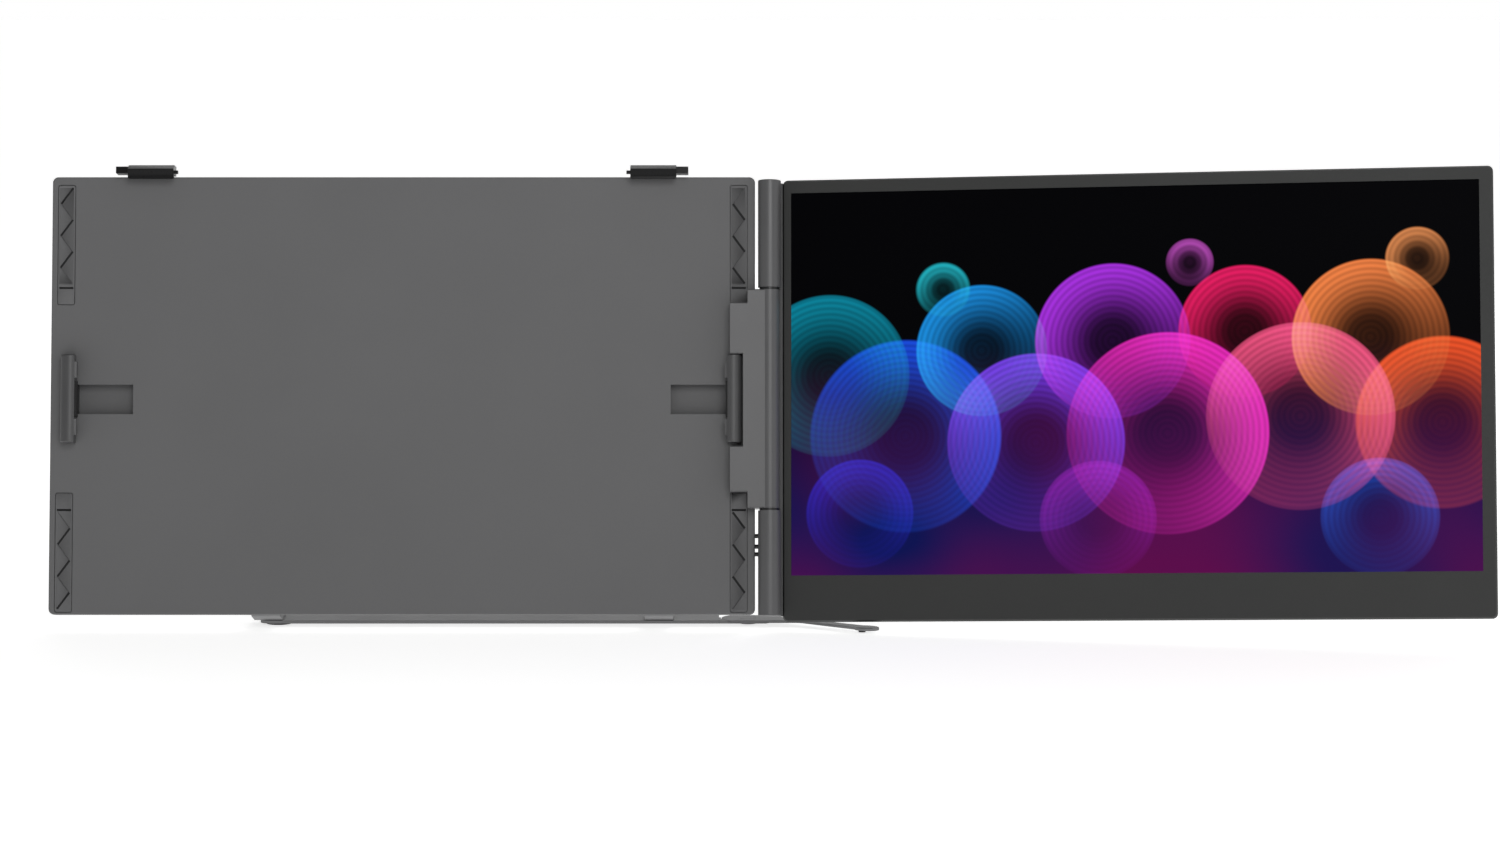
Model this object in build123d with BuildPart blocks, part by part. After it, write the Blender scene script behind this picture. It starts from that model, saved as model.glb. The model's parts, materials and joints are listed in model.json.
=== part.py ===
from build123d import *
import os
from math import acos, cos, pi, radians, sin, sqrt, tan

os.makedirs("parts", exist_ok=True)

# Millimetres, +Z up. The front looks along -Y and the monitor hangs towards +X.
# The origin is the centre of the underside of the foot under the leg's pivot.

# Picture area of a 17.3 inch panel at 16:9, and the frame round it
panel_width = 381.9
panel_height = 214.8
bezel_left = 4.8
bezel_right = 7.6
bezel_top = 7.4
chin_height = 25.9
monitor_depth = 9.0
monitor_corner = 3.0
monitor_bottom = -0.4
bezel_wall = 1.3
bezel_lip = 0.9
bezel_skirt = 2.5
bevel_width = 1.4
bevel_depth = 0.9
cover_wall = 1.4
cover_bottom_wall = 2.6
cover_bottom_chamfer = 3.0
cover_edge = 1.2

# How the object stands: the bracket leans back and the monitor is turned towards the viewer
lean = 9.66
swing_at_rest = 9.93
axis_right_of_pivot = 12.0
axis_before_pivot = 37.0
axis_above_plate = 3.3

# Bracket panel, measured from the hinge axis to its right edge and from the axis's foot up
face_depth = 5.5
bracket_gap = 8.1
bracket_width = 394.8
bracket_height = 245.9
bracket_bottom = 3.8
bracket_depth = 9.0
bracket_corner = 3.2
front_wall = 1.8
side_wall = 1.8
rear_cover_thickness = 1.6
front_edge = 0.7
rear_edge = 1.0

# Hinge barrel, in three lengths along the axis
barrel_radius = 6.43
barrel_bottom = 2.9
lower_barrel = 58.8
upper_barrel = 60.4
knuckle_length = 122.5
knuckle_radius = 5.6
knuckle_seam = 1.3
knuckle_gap = 0.9
barrel_wall = 1.6
cap_thickness = 1.2
cap_edge = 0.6
spine_reach = 1.0
spine_depth = 13.4
spine_corner = 4.0
cover_shift = 0.8

# Raised block that carries the centre knuckle
block_height = 10.4
block_tall_margin = 9.0
block_short_margin = 7.5
block_chamfer = 0.6
arm_screw_radius = 1.5
arm_screw_head = 2.75
arm_screw_head_height = 1.8
arm_screw_bite = 7.5
arm_screw_edge = 5.0
arm_screw_pitch = 12.0
arm_screw_inset = 17.0
block_clearance = 1.4
backing_thickness = 1.5
backing_width = 29.0
backing_margin = 6.0

# Shaft, its bushes, spring washers and nut
shaft_radius = 2.5
bush_wall = 2.0
bush_length = 10.5
washer_radius = 4.4
washer_thickness = 0.8
washer_gap = 0.2
washer_count = 7
nut_across = 8.0
nut_height = 4.0
shaft_end = 1.5

# Clamp: two jaws that slide sideways on racks round one pinion
clamp_shift = -0.5
jaw_side_allowance = 29.8
jaw_width = 7.9
jaw_height = 49.4
jaw_rise = 0.1
jaw_corner = 1.4
jaw_in = 33.0
jaw_out = 0.5
jaw_pocket_drop = 1.7
lid_slot = 6.0
lip_thickness = 2.6
lip_reach = 1.5
prong_height = 9.0
prong_offset = 16.0
jaw_crown = 1.0
jaw_outer_drop = 1.9
jaw_pad_thickness = 1.0
jaw_pad_height = 20.0
neck_width = 5.0
neck_height = 16.0
foot_width = 10.0
jaw_screw_radius = 1.0
jaw_screw_head = 1.9
jaw_screw_pitch = 9.0

# Rack and pinion, module 1
tooth_size = 1.0
spare_teeth = 6
pinion_teeth = 16
pressure_angle = 20.0
gear_depth = 0.5
rack_thickness = 3.0
rack_bar = 6.5
rack_addendum = 0.8
tooth_backlash = 0.16
rack_foot_reach = 12.0
root_share = 1.25
post_radius = 2.0
post_collar = 3.5
spring_radius = 7.0
guide_width = 8.0
guide_thickness = 3.0
guide_share = 0.72

# Hooks over the top edge
hook_side_allowance = 113.1
hook_width = 25.8
hook_travel_up = 15.0
hook_stem_width = 22.0
hook_stem_thickness = 1.6
hook_stem_inset = 0.9
hook_stem_length = 60.0
hook_rise = 6.2
roof_thickness = 5.4
roof_drop = 2.6
roof_flat = 5.0
brow_height = 0.8
brow_set_back = 1.2
hook_lip = 2.2
hook_lip_length = 2.7
hook_lip_corner = 1.0
hook_pad_thickness = 0.8
tail_length = 6.7
tail_height = 3.7
tail_drop = 3.0
tail_lap = 1.6
bump_length = 2.2
bump_height = 1.8
bump_drop = 4.2
channel_length = 24.0
channel_margin = 4.0
channel_wall = 0.8
channel_flange = 2.5

# Grip strips on the margins beside the clamped panel
grip_width = 9.2
grip_margin = 4.5
grip_left_margin = 3.6
grip_top_inset = 4.9
grip_upper_tuck = 0.2
grip_bottom_inset = 1.5
grip_lower_gap = 0.4
grip_thickness = 1.1
grip_period = 18.0
groove_width = 1.25
groove_depth = 0.8
fine_groove_width = 0.55
fine_groove_depth = 0.5
grip_plain_end = 9.3
facet_depth = 0.3
grip_gap = 0.45
grip_corner = 1.0

# Screws of the bracket's rear cover
cover_screw_radius = 1.1
cover_screw_head = 2.1
boss_radius = 3.0
boss_inset = 9.5
boss_from_fold = 26.5

# Steel base plate and the hinge that folds it against the back
foot_height = 1.2
plate_thickness = 1.8
plate_shortfall = 145.8
plate_reach = 79.0
plate_start = 26.0
plate_corner = 6.0
bar_front = 11.0
bar_back = 2.0
web_back = 13.0
web_clearance = 1.0
lap_radius = 15.0
lap_clearance = 0.5
lap_gap = 0.1
fold_depth = 12.5
fold_height = 2.2
fold_eye = 3.2
fold_pin_radius = 1.5
fold_arm_width = 16.0
fold_side_gap = 0.5
fold_web = 2.8
fold_web_reach = 1.5
flange_heel = 6.0
cheek_width = 4.0
cheek_height = 8.2
notch_height = 16.2
fold_right = 62.0
fold_end_inset = 29.0
flange_thickness = 1.9
flange_back = 8.0
flange_front = 9.5
rivet_radius = 1.5
rivet_head = 2.75
rivet_head_height = 0.8
rivet_pitch = 10.0
rivet_back = 4.0
foot_radius = 7.0
pivot_foot_radius = 5.0
foot_inset = 10.0

# Swing leg, in plan from its pivot
leg_thickness = 1.5
leg_half_width = 11.0
leg_front_straight = 29.0
leg_back_straight = 6.0
leg_shoulder_x = 17.0
leg_shoulder_y = 6.0
leg_turn = 39.6
leg_tip_x = 66.0
leg_tip_y = 36.7
leg_tip_long = 7.5
leg_tip_wide = 6.3
leg_bar_half = 4.6
leg_blend = 7.0
leg_rivet_radius = 3.0
leg_rivet_head = 4.5
leg_rivet_head_height = 0.4
leg_foot_radius = 2.0
leg_foot_x = 63.6
leg_foot_y = 35.3

# Buttons on the lower barrel
button_radius = 1.2
button_heights = {"power": 47.5, "plus": 41.6, "minus": 37.3}
button_stand_out = 2.0
button_travel = 0.8
button_flange = 1.7
button_flange_thickness = 0.7
button_clearance = 0.1
button_hole_overrun = 1.0
button_round = 0.4
switch_size = 3.0
switch_height = 1.6
switch_gap = 0.3
button_board_thickness = 1.0
button_board_width = 7.0
rib_thickness = 1.5

# Layers and boards inside the monitor
glass_thickness = 1.0
light_thickness = 1.8
tray_thickness = 0.5
panel_margin = 2.3
board_thickness = 0.8
board_width = 62.0
board_height = 88.0
board_rise = 0.9
chip_size = 14.0
chip_height = 1.0
small_chip = 9.0
usb_width = 8.9
usb_height = 3.1
hdmi_width = 11.2
socket_depth = 7.4
socket_pitch = 16.0
first_socket_height = 42.0
socket_clearance = 0.3
speaker_length = 30.0
speaker_height = 11.0
board_above_speaker = 6.0
speaker_thickness = 2.9
speaker_left_inset = 44.0
speaker_right_inset = 94.0
vent_width = 1.4
vent_length = 8.0
vent_pitch = 3.4
vent_count = 8
rear_screw_radius = 1.0
rear_screw_head = 1.9
rear_screw_head_height = 1.1
rear_post_radius = 2.6
rear_screw_height = 11.0
rear_screw_inset = 14.0
rear_screw_half_pitch = 55.0
rear_screw_bite = 4.0
ribbon_width = 34.0
ribbon_length = 22.0
ribbon_thickness = 0.2

# Clearances that many pieces share
running_gap = 0.05
slide_gap = 0.3
seat_gap = 0.15

# Directions: up along the axis, out of the bracket's face, and along the monitor
up = Vector(0, sin(radians(lean)), cos(radians(lean)))
out = Vector(0, -cos(radians(lean)), sin(radians(lean)))
along = Vector(1, 0, 0)
swing = radians(swing_at_rest)
monitor_along = along * cos(swing) + out * sin(swing)
monitor_out = out * cos(swing) - along * sin(swing)
axis_foot_z = foot_height + plate_thickness + axis_above_plate
axis_foot = Vector(axis_right_of_pivot, -axis_before_pivot, axis_foot_z)
bracket_plane = Plane(origin=axis_foot, x_dir=along, z_dir=out)
monitor_plane = Plane(origin=axis_foot, x_dir=monitor_along, z_dir=monitor_out)
clamp_offset = bracket_gap + bracket_width / 2 - clamp_shift
jaw_opening = bracket_width - jaw_side_allowance
hook_spread = bracket_width - hook_side_allowance
clamp_mirror = Plane(origin=axis_foot - along * clamp_offset, x_dir=up, z_dir=along)


def bracket_at(depth):
    # A plane that lies parallel to the bracket's face, this far behind the hinge axis
    return bracket_plane.offset(-depth)


def monitor_at(depth):
    return monitor_plane.offset(-depth)


def section_at(height):
    # A plane square to the hinge axis, with x to the right and y into the depth
    return Plane(origin=axis_foot + up * height, x_dir=along, z_dir=up)


def monitor_section_at(height):
    return Plane(origin=axis_foot + up * height, x_dir=monitor_along, z_dir=up)


def bracket_side_at(x):
    # A plane square to the bracket's width, with x into the depth and y up
    return Plane(origin=axis_foot + along * x, x_dir=-out, z_dir=along)


# Places worked out from the driving sizes
bracket_right = -bracket_gap
bracket_left = bracket_right - bracket_width
bracket_mid_x = bracket_right - bracket_width / 2
bracket_top = bracket_bottom + bracket_height
bracket_mid_up = bracket_bottom + bracket_height / 2
bracket_back = face_depth + bracket_depth
inner_front = face_depth + front_wall
inner_back = bracket_back - rear_cover_thickness
lower_barrel_top = barrel_bottom + lower_barrel
knuckle_bottom = lower_barrel_top + knuckle_seam
knuckle_top = knuckle_bottom + knuckle_length
upper_barrel_bottom = knuckle_top + knuckle_seam
barrel_top = upper_barrel_bottom + upper_barrel
block_front = block_height - face_depth
jaw_inner = -clamp_offset + jaw_opening / 2
jaw_outer = jaw_inner + jaw_width
jaw_mid = jaw_inner + jaw_width / 2
block_left = jaw_inner + block_clearance
jaw_center_height = (knuckle_bottom + knuckle_top) / 2 + jaw_rise
grip_right = bracket_right - grip_margin
grip_mid = grip_right - grip_width / 2
grip_left_mid = bracket_left + grip_left_margin + grip_width / 2
grip_upper_top = bracket_top - grip_top_inset
grip_upper_length = grip_upper_top - (knuckle_top - block_short_margin) + grip_upper_tuck
grip_lower_length = knuckle_bottom + block_tall_margin - grip_lower_gap - bracket_bottom - grip_bottom_inset
grip_lower_top = bracket_bottom + grip_bottom_inset + grip_lower_length
block_step_x = grip_right + slide_gap
gear_front = inner_front + gear_depth
gear_back = gear_front + rack_thickness
pitch_radius = tooth_size * pinion_teeth / 2
hook_mid = -clamp_offset + hook_spread / 2
stem_front = inner_front + hook_stem_inset
stem_back = stem_front + hook_stem_thickness
monitor_left = knuckle_radius + knuckle_gap
monitor_width = bezel_left + panel_width + bezel_right
monitor_height = chin_height + panel_height + bezel_top
monitor_mid_x = monitor_left + monitor_width / 2
monitor_mid_up = monitor_bottom + monitor_height / 2
monitor_right = monitor_left + monitor_width
picture_mid_x = monitor_left + bezel_left + panel_width / 2
picture_mid_up = monitor_bottom + chin_height + panel_height / 2
parting_depth = face_depth + bezel_skirt
glass_front = face_depth + bezel_lip
light_front = glass_front + glass_thickness
tray_back = light_front + light_thickness + tray_thickness
monitor_back = face_depth + monitor_depth
cover_inside = monitor_back - cover_wall
screw_heights = [knuckle_bottom + arm_screw_inset, knuckle_bottom + arm_screw_inset + arm_screw_pitch,
                 knuckle_top - arm_screw_inset - arm_screw_pitch, knuckle_top - arm_screw_inset]
arm_screw_x = bracket_right - arm_screw_edge
fold_up = bracket_bottom + fold_height
plate_length = bracket_width - plate_shortfall
fold_mids = [-fold_right, -fold_right - plate_length + fold_end_inset]
plate_bottom = foot_height
plate_top = foot_height + plate_thickness
lap_mid = foot_height + plate_thickness / 2
boss_places = [(x, height)
               for x in (bracket_left + boss_inset, fold_mids[1] + boss_from_fold,
                         fold_mids[0] - boss_from_fold, bracket_right - boss_inset)
               for height in (bracket_bottom + boss_inset, bracket_top - boss_inset)]


# Bracket front shell: a shallow moulded tray whose face the clamped panel rests on
with BuildPart() as bracket_front_shell:
    with BuildSketch(bracket_at(face_depth)):
        with Locations((bracket_mid_x, bracket_mid_up)):
            RectangleRounded(bracket_width, bracket_height, bracket_corner)
    extrude(amount=-(inner_back - face_depth))
    fillet(bracket_front_shell.faces().sort_by(Axis(axis_foot, out))[-1].edges(), front_edge)
    with BuildSketch(bracket_at(inner_front)):
        with Locations((bracket_mid_x, bracket_mid_up)):
            RectangleRounded(bracket_width - 2 * side_wall, bracket_height - 2 * side_wall,
                             bracket_corner - side_wall)
    extrude(amount=-bracket_depth, mode=Mode.SUBTRACT)
    # Posts that take the rear cover's screws
    with BuildSketch(bracket_at(inner_front)):
        with Locations(*boss_places):
            Circle(boss_radius)
    extrude(amount=-(inner_back - inner_front))
    with BuildSketch(bracket_at(inner_back)):
        with Locations(*boss_places):
            Circle(cover_screw_radius)
    extrude(amount=inner_back - inner_front, mode=Mode.SUBTRACT)
    # Slots that the jaws' necks slide in
    slot_length = neck_width + jaw_in + jaw_out + 2 * slide_gap
    slot_shift = (jaw_in - jaw_out) / 2
    with BuildSketch(bracket_at(face_depth)):
        with Locations((jaw_mid - slot_shift, jaw_center_height),
                       (-2 * clamp_offset - jaw_mid + slot_shift, jaw_center_height)):
            Rectangle(slot_length, neck_height + 2 * slide_gap)
    extrude(amount=-front_wall, mode=Mode.SUBTRACT)
    # Slots in the top wall for the hooks' stems
    with BuildSketch(section_at(bracket_top)):
        with Locations((hook_mid, (stem_front + stem_back) / 2),
                       (-2 * clamp_offset - hook_mid, (stem_front + stem_back) / 2)):
            Rectangle(hook_stem_width + 2 * slide_gap, hook_stem_thickness + 2 * slide_gap)
    extrude(amount=-side_wall, mode=Mode.SUBTRACT)
    # Notches in the bottom wall for the folding base
    with BuildSketch(section_at(bracket_bottom)):
        with Locations(*[(mid, (inner_front + inner_back) / 2) for mid in fold_mids]):
            Rectangle(fold_arm_width + 2 * fold_side_gap + 2 * cheek_width, inner_back - inner_front)
    extrude(amount=side_wall, mode=Mode.SUBTRACT)
    # Recesses that the grip strips are glued into
    grip_spans = [(grip_upper_top, grip_upper_length), (grip_lower_top, grip_lower_length)]
    with BuildSketch(bracket_at(face_depth)):
        for top, length in grip_spans:
            with Locations((grip_mid, top - length / 2), (grip_left_mid, top - length / 2)):
                RectangleRounded(grip_width + 2 * grip_gap, length + 2 * grip_gap, grip_corner + grip_gap)
    extrude(amount=-grip_thickness, mode=Mode.SUBTRACT)
    # Clearance holes for the hinge block's screws
    with BuildSketch(bracket_at(face_depth)):
        with Locations(*[(arm_screw_x, height) for height in screw_heights]):
            Circle(arm_screw_radius + seat_gap)
    extrude(amount=-front_wall, mode=Mode.SUBTRACT)

bracket_front_shell.part.label = "bracket_front_shell"
export_step(bracket_front_shell.part, "parts/bracket_front_shell.step")


# Bracket rear cover
with BuildPart() as bracket_rear_cover:
    with BuildSketch(bracket_at(inner_back)):
        with Locations((bracket_mid_x, bracket_mid_up)):
            RectangleRounded(bracket_width, bracket_height, bracket_corner)
    extrude(amount=-rear_cover_thickness)
    fillet(bracket_rear_cover.faces().sort_by(Axis(axis_foot, out))[0].edges(), rear_edge)
    with BuildSketch(bracket_at(inner_back)):
        with Locations(*[(mid, bracket_bottom + notch_height / 2) for mid in fold_mids]):
            Rectangle(fold_arm_width + 2 * fold_side_gap + 2 * cheek_width, notch_height)
    extrude(amount=-rear_cover_thickness, mode=Mode.SUBTRACT)
    with BuildSketch(bracket_at(inner_back)):
        with Locations(*boss_places):
            Circle(cover_screw_radius + running_gap)
    extrude(amount=-rear_cover_thickness, mode=Mode.SUBTRACT)
    with BuildSketch(bracket_at(bracket_back)):
        with Locations(*boss_places):
            Circle(cover_screw_head + seat_gap)
    extrude(amount=rear_cover_thickness / 2, mode=Mode.SUBTRACT)

bracket_rear_cover.part.label = "bracket_rear_cover"
export_step(bracket_rear_cover.part, "parts/bracket_rear_cover.step")


# Screws of the rear cover, one group
with BuildPart() as bracket_screws:
    with BuildSketch(bracket_at(bracket_back - rear_cover_thickness / 2)):
        with Locations(*boss_places):
            Circle(cover_screw_head)
    extrude(amount=-rear_cover_thickness / 2)
    with BuildSketch(bracket_at(bracket_back - rear_cover_thickness / 2)):
        with Locations(*boss_places):
            Circle(cover_screw_radius - running_gap)
    extrude(amount=rear_cover_thickness / 2 + boss_radius)

bracket_screws.part.label = "bracket_screws"
export_step(bracket_screws.part, "parts/bracket_screws.step")


def make_grip(mid, top, length, plain_low, first_side, deep_side):
    # An elastomer strip: a zigzag with facets sunk on its left, and one plain end past a cross groove.
    # The strokes that start on the deep side are broad and deep, and the others are fine.
    zigzag_top = top - groove_width if plain_low else top - grip_plain_end - groove_width
    cross_height = top - length + grip_plain_end if plain_low else top - grip_plain_end
    half_wave = grip_period / 2
    turns = int((length - grip_plain_end - groove_width) / half_wave)
    swing_out = grip_width / 2 - groove_width
    points = [(mid + first_side * (-swing_out if turn % 2 else swing_out), zigzag_top - turn * half_wave)
              for turn in range(turns + 1)]
    strokes = list(zip(points, points[1:]))
    deep_strokes = [stroke for stroke in strokes if (stroke[0][0] - mid) * deep_side > 0]
    fine_strokes = [stroke for stroke in strokes if (stroke[0][0] - mid) * deep_side < 0]
    facet_left = mid - grip_width / 2 + groove_width / 2
    with BuildPart() as grip:
        with BuildSketch(bracket_at(face_depth + grip_thickness)):
            with Locations((mid, top - length / 2)):
                RectangleRounded(grip_width, length, grip_corner)
        extrude(amount=grip_thickness)
        with BuildSketch(bracket_at(face_depth)):
            with BuildLine():
                Polyline((facet_left, points[0][1]), *points, (facet_left, points[-1][1]), close=True)
            make_face()
        extrude(amount=-facet_depth, mode=Mode.SUBTRACT)
        with BuildSketch(bracket_at(face_depth)):
            with BuildLine():
                for start, end in fine_strokes:
                    Line(start, end)
            trace(line_width=fine_groove_width)
        extrude(amount=-fine_groove_depth, mode=Mode.SUBTRACT)
        with BuildSketch(bracket_at(face_depth)):
            with BuildLine():
                for start, end in deep_strokes:
                    Line(start, end)
            trace(line_width=groove_width)
            with Locations((mid, cross_height)):
                Rectangle(2 * swing_out + groove_width, groove_width)
        extrude(amount=-groove_depth, mode=Mode.SUBTRACT)
    return grip.part


with BuildPart() as grip_strip_upper_right:
    add(make_grip(grip_mid, grip_upper_top, grip_upper_length, True, 1, -1))

grip_strip_upper_right.part.label = "grip_strip_upper_right"
export_step(grip_strip_upper_right.part, "parts/grip_strip_upper_right.step")

with BuildPart() as grip_strip_lower_right:
    add(make_grip(grip_mid, grip_lower_top, grip_lower_length, False, -1, -1))

grip_strip_lower_right.part.label = "grip_strip_lower_right"
export_step(grip_strip_lower_right.part, "parts/grip_strip_lower_right.step")

with BuildPart() as grip_strip_upper_left:
    add(make_grip(grip_left_mid, grip_upper_top, grip_upper_length, True, 1, 1))

grip_strip_upper_left.part.label = "grip_strip_upper_left"
export_step(grip_strip_upper_left.part, "parts/grip_strip_upper_left.step")

with BuildPart() as grip_strip_lower_left:
    add(make_grip(grip_left_mid, grip_lower_top, grip_lower_length, False, -1, 1))

grip_strip_lower_left.part.label = "grip_strip_lower_left"
export_step(grip_strip_lower_left.part, "parts/grip_strip_lower_left.step")


# Hinge arm: the raised block on the bracket's face, and the centre knuckle that it carries
with BuildPart() as hinge_arm:
    with BuildSketch(section_at(knuckle_bottom)):
        Circle(knuckle_radius)
        with Locations(((block_step_x + 0) / 2, (face_depth - block_front) / 2)):
            Rectangle(-block_step_x, face_depth + block_front)
    extrude(amount=knuckle_length)
    with BuildSketch(section_at(knuckle_bottom)):
        with Locations(((bracket_right + slide_gap) / 2, bracket_back / 2)):
            Rectangle(-bracket_right - slide_gap, bracket_back)
    extrude(amount=knuckle_length)
    with BuildSketch(section_at(knuckle_bottom + block_tall_margin)):
        with Locations(((block_left + block_step_x) / 2, (face_depth - block_front) / 2)):
            Rectangle(block_step_x - block_left, face_depth + block_front)
    extrude(amount=knuckle_length - block_tall_margin - block_short_margin)
    # Pocket that the right jaw opens into
    jaw_pocket = jaw_outer + jaw_out + slide_gap
    with BuildSketch(bracket_at(-block_front)):
        with Locations(((block_left + jaw_pocket) / 2, jaw_center_height - jaw_pocket_drop / 2)):
            Rectangle(jaw_pocket - block_left, jaw_height + jaw_pocket_drop + 2 * slide_gap)
    extrude(amount=-block_height, mode=Mode.SUBTRACT)
    with BuildSketch(section_at(knuckle_bottom)):
        Circle(shaft_radius + running_gap)
    extrude(amount=knuckle_length, mode=Mode.SUBTRACT)
    with BuildSketch(bracket_at(face_depth)):
        with Locations(*[(arm_screw_x, height) for height in screw_heights]):
            Circle(arm_screw_radius)
    extrude(amount=arm_screw_bite + slide_gap, mode=Mode.SUBTRACT)
    outer_edges = hinge_arm.edges().filter_by_position(Axis(axis_foot, out), block_front - 0.01,
                                                       block_front + 0.01)
    chamfer(outer_edges.filter_by(GeomType.LINE).filter_by(Axis.X), block_chamfer)

hinge_arm.part.label = "hinge_arm"
export_step(hinge_arm.part, "parts/hinge_arm.step")


# Steel plates behind the shell's face that spread the hinge block's screws
with BuildPart() as backing_plates:
    backing_right = bracket_right - side_wall - slide_gap
    backing_mids = [sum(screw_heights[:2]) / 2, sum(screw_heights[2:]) / 2]
    with BuildSketch(bracket_at(inner_front)):
        with Locations(*[(backing_right - backing_width / 2, height) for height in backing_mids]):
            Rectangle(backing_width, arm_screw_pitch + 2 * backing_margin)
        with Locations(*[(arm_screw_x, height) for height in screw_heights]):
            Circle(arm_screw_radius + seat_gap, mode=Mode.SUBTRACT)
    extrude(amount=-backing_thickness)

backing_plates.part.label = "backing_plates"
export_step(backing_plates.part, "parts/backing_plates.step")

with BuildPart() as arm_screws:
    screw_seat = inner_front + backing_thickness
    with BuildSketch(bracket_at(screw_seat)):
        with Locations(*[(arm_screw_x, height) for height in screw_heights]):
            Circle(arm_screw_head)
    extrude(amount=-arm_screw_head_height)
    with BuildSketch(bracket_at(screw_seat)):
        with Locations(*[(arm_screw_x, height) for height in screw_heights]):
            Circle(arm_screw_radius - running_gap)
    extrude(amount=screw_seat - face_depth + arm_screw_bite)

arm_screws.part.label = "arm_screws"
export_step(arm_screws.part, "parts/arm_screws.step")


# Hinge shaft, which the barrels turn on, with its spring washers and nut in the upper barrel
bush_bottom = lower_barrel_top - bush_length
upper_bush_top = upper_barrel_bottom + bush_length
washers_start = upper_bush_top + washer_gap
washers_end = washers_start + washer_count * (washer_thickness + washer_gap)
nut_start = washers_end
shaft_top = nut_start + nut_height + shaft_end

with BuildPart() as hinge_shaft:
    with BuildSketch(section_at(bush_bottom)):
        Circle(shaft_radius)
    extrude(amount=shaft_top - bush_bottom)

hinge_shaft.part.label = "hinge_shaft"
export_step(hinge_shaft.part, "parts/hinge_shaft.step")

with BuildPart() as friction_washers:
    for index in range(washer_count):
        with BuildSketch(section_at(washers_start + index * (washer_thickness + washer_gap))):
            Circle(washer_radius)
            Circle(shaft_radius + running_gap, mode=Mode.SUBTRACT)
        extrude(amount=washer_thickness)

friction_washers.part.label = "friction_washers"
export_step(friction_washers.part, "parts/friction_washers.step")

with BuildPart() as hinge_nut:
    with BuildSketch(section_at(nut_start)):
        RegularPolygon(nut_across / 2, 6, major_radius=False)
        Circle(shaft_radius + running_gap, mode=Mode.SUBTRACT)
    extrude(amount=nut_height)

hinge_nut.part.label = "hinge_nut"
export_step(hinge_nut.part, "parts/hinge_nut.step")


# Right jaw: a convex block whose two prongs reach over the edge of the clamped panel
jaw_seat = face_depth - slide_gap
jaw_lip_back = face_depth - lid_slot
jaw_front = jaw_lip_back - lip_thickness

with BuildPart() as jaw_right:
    with BuildSketch(section_at(jaw_center_height - jaw_height / 2)):
        with BuildLine():
            Line((jaw_inner, jaw_seat), (jaw_inner, jaw_front))
            ThreePointArc((jaw_inner, jaw_front), (jaw_inner + jaw_width * 0.4, jaw_front - jaw_crown),
                          (jaw_outer, jaw_front + jaw_outer_drop))
            Line((jaw_outer, jaw_front + jaw_outer_drop), (jaw_outer, jaw_seat))
            Line((jaw_outer, jaw_seat), (jaw_inner, jaw_seat))
        make_face()
    extrude(amount=jaw_height)
    crown_face = jaw_right.faces().filter_by(GeomType.CYLINDER)[0]
    fillet(crown_face.edges().sort_by(Axis.X)[-1], jaw_corner)
    end_edges = jaw_right.edges().filter_by(GeomType.CIRCLE)
    fillet(end_edges.filter_by(lambda edge: edge.length > jaw_width * 0.5), jaw_corner * 0.6)
    for prong_side in (-1, 1):
        prong_low = jaw_center_height + prong_side * prong_offset - prong_height / 2
        with BuildSketch(section_at(prong_low)):
            with Locations((jaw_inner - lip_reach / 2, jaw_front + lip_thickness / 2)):
                Rectangle(lip_reach, lip_thickness)
        extrude(amount=prong_height)
    with BuildSketch(bracket_at(jaw_seat)):
        with Locations((jaw_mid, jaw_center_height)):
            Rectangle(neck_width, neck_height)
    extrude(amount=-(gear_front - jaw_seat))
    with BuildSketch(bracket_at(gear_front)):
        with Locations((jaw_mid, jaw_center_height - jaw_screw_pitch / 2),
                       (jaw_mid, jaw_center_height + jaw_screw_pitch / 2)):
            Circle(jaw_screw_radius)
    extrude(amount=gear_front - jaw_seat + 2.0, mode=Mode.SUBTRACT)

jaw_right.part.label = "jaw_right"
export_step(jaw_right.part, "parts/jaw_right.step")

with BuildPart() as jaw_left:
    mirror(jaw_right.part, about=clamp_mirror)

jaw_left.part.label = "jaw_left"
export_step(jaw_left.part, "parts/jaw_left.step")

with BuildPart() as jaw_pad_right:
    with BuildSketch(section_at(jaw_center_height - jaw_pad_height / 2)):
        with Locations((jaw_inner - jaw_pad_thickness / 2, (jaw_seat + jaw_lip_back) / 2)):
            Rectangle(jaw_pad_thickness, jaw_seat - jaw_lip_back)
    extrude(amount=jaw_pad_height)

jaw_pad_right.part.label = "jaw_pad_right"
export_step(jaw_pad_right.part, "parts/jaw_pad_right.step")

with BuildPart() as jaw_pad_left:
    mirror(jaw_pad_right.part, about=clamp_mirror)

jaw_pad_left.part.label = "jaw_pad_left"
export_step(jaw_pad_left.part, "parts/jaw_pad_left.step")


# Pinion with involute teeth, on a post, and the coiled strip spring behind it
pitch_length = pi * tooth_size
half_tooth = pitch_length / 4 - tooth_backlash
base_radius = pitch_radius * cos(radians(pressure_angle))
tip_radius = pitch_radius + tooth_size
root_radius = pitch_radius - root_share * tooth_size


def involute_angle(radius):
    # How far round an involute flank has turned when it reaches this radius
    rolled = acos(base_radius / radius)
    return tan(rolled) - rolled


def tooth_half_angle(radius):
    at_pitch = half_tooth / pitch_radius
    if radius <= base_radius:
        return at_pitch + involute_angle(pitch_radius)
    return at_pitch + involute_angle(pitch_radius) - involute_angle(radius)


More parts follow.
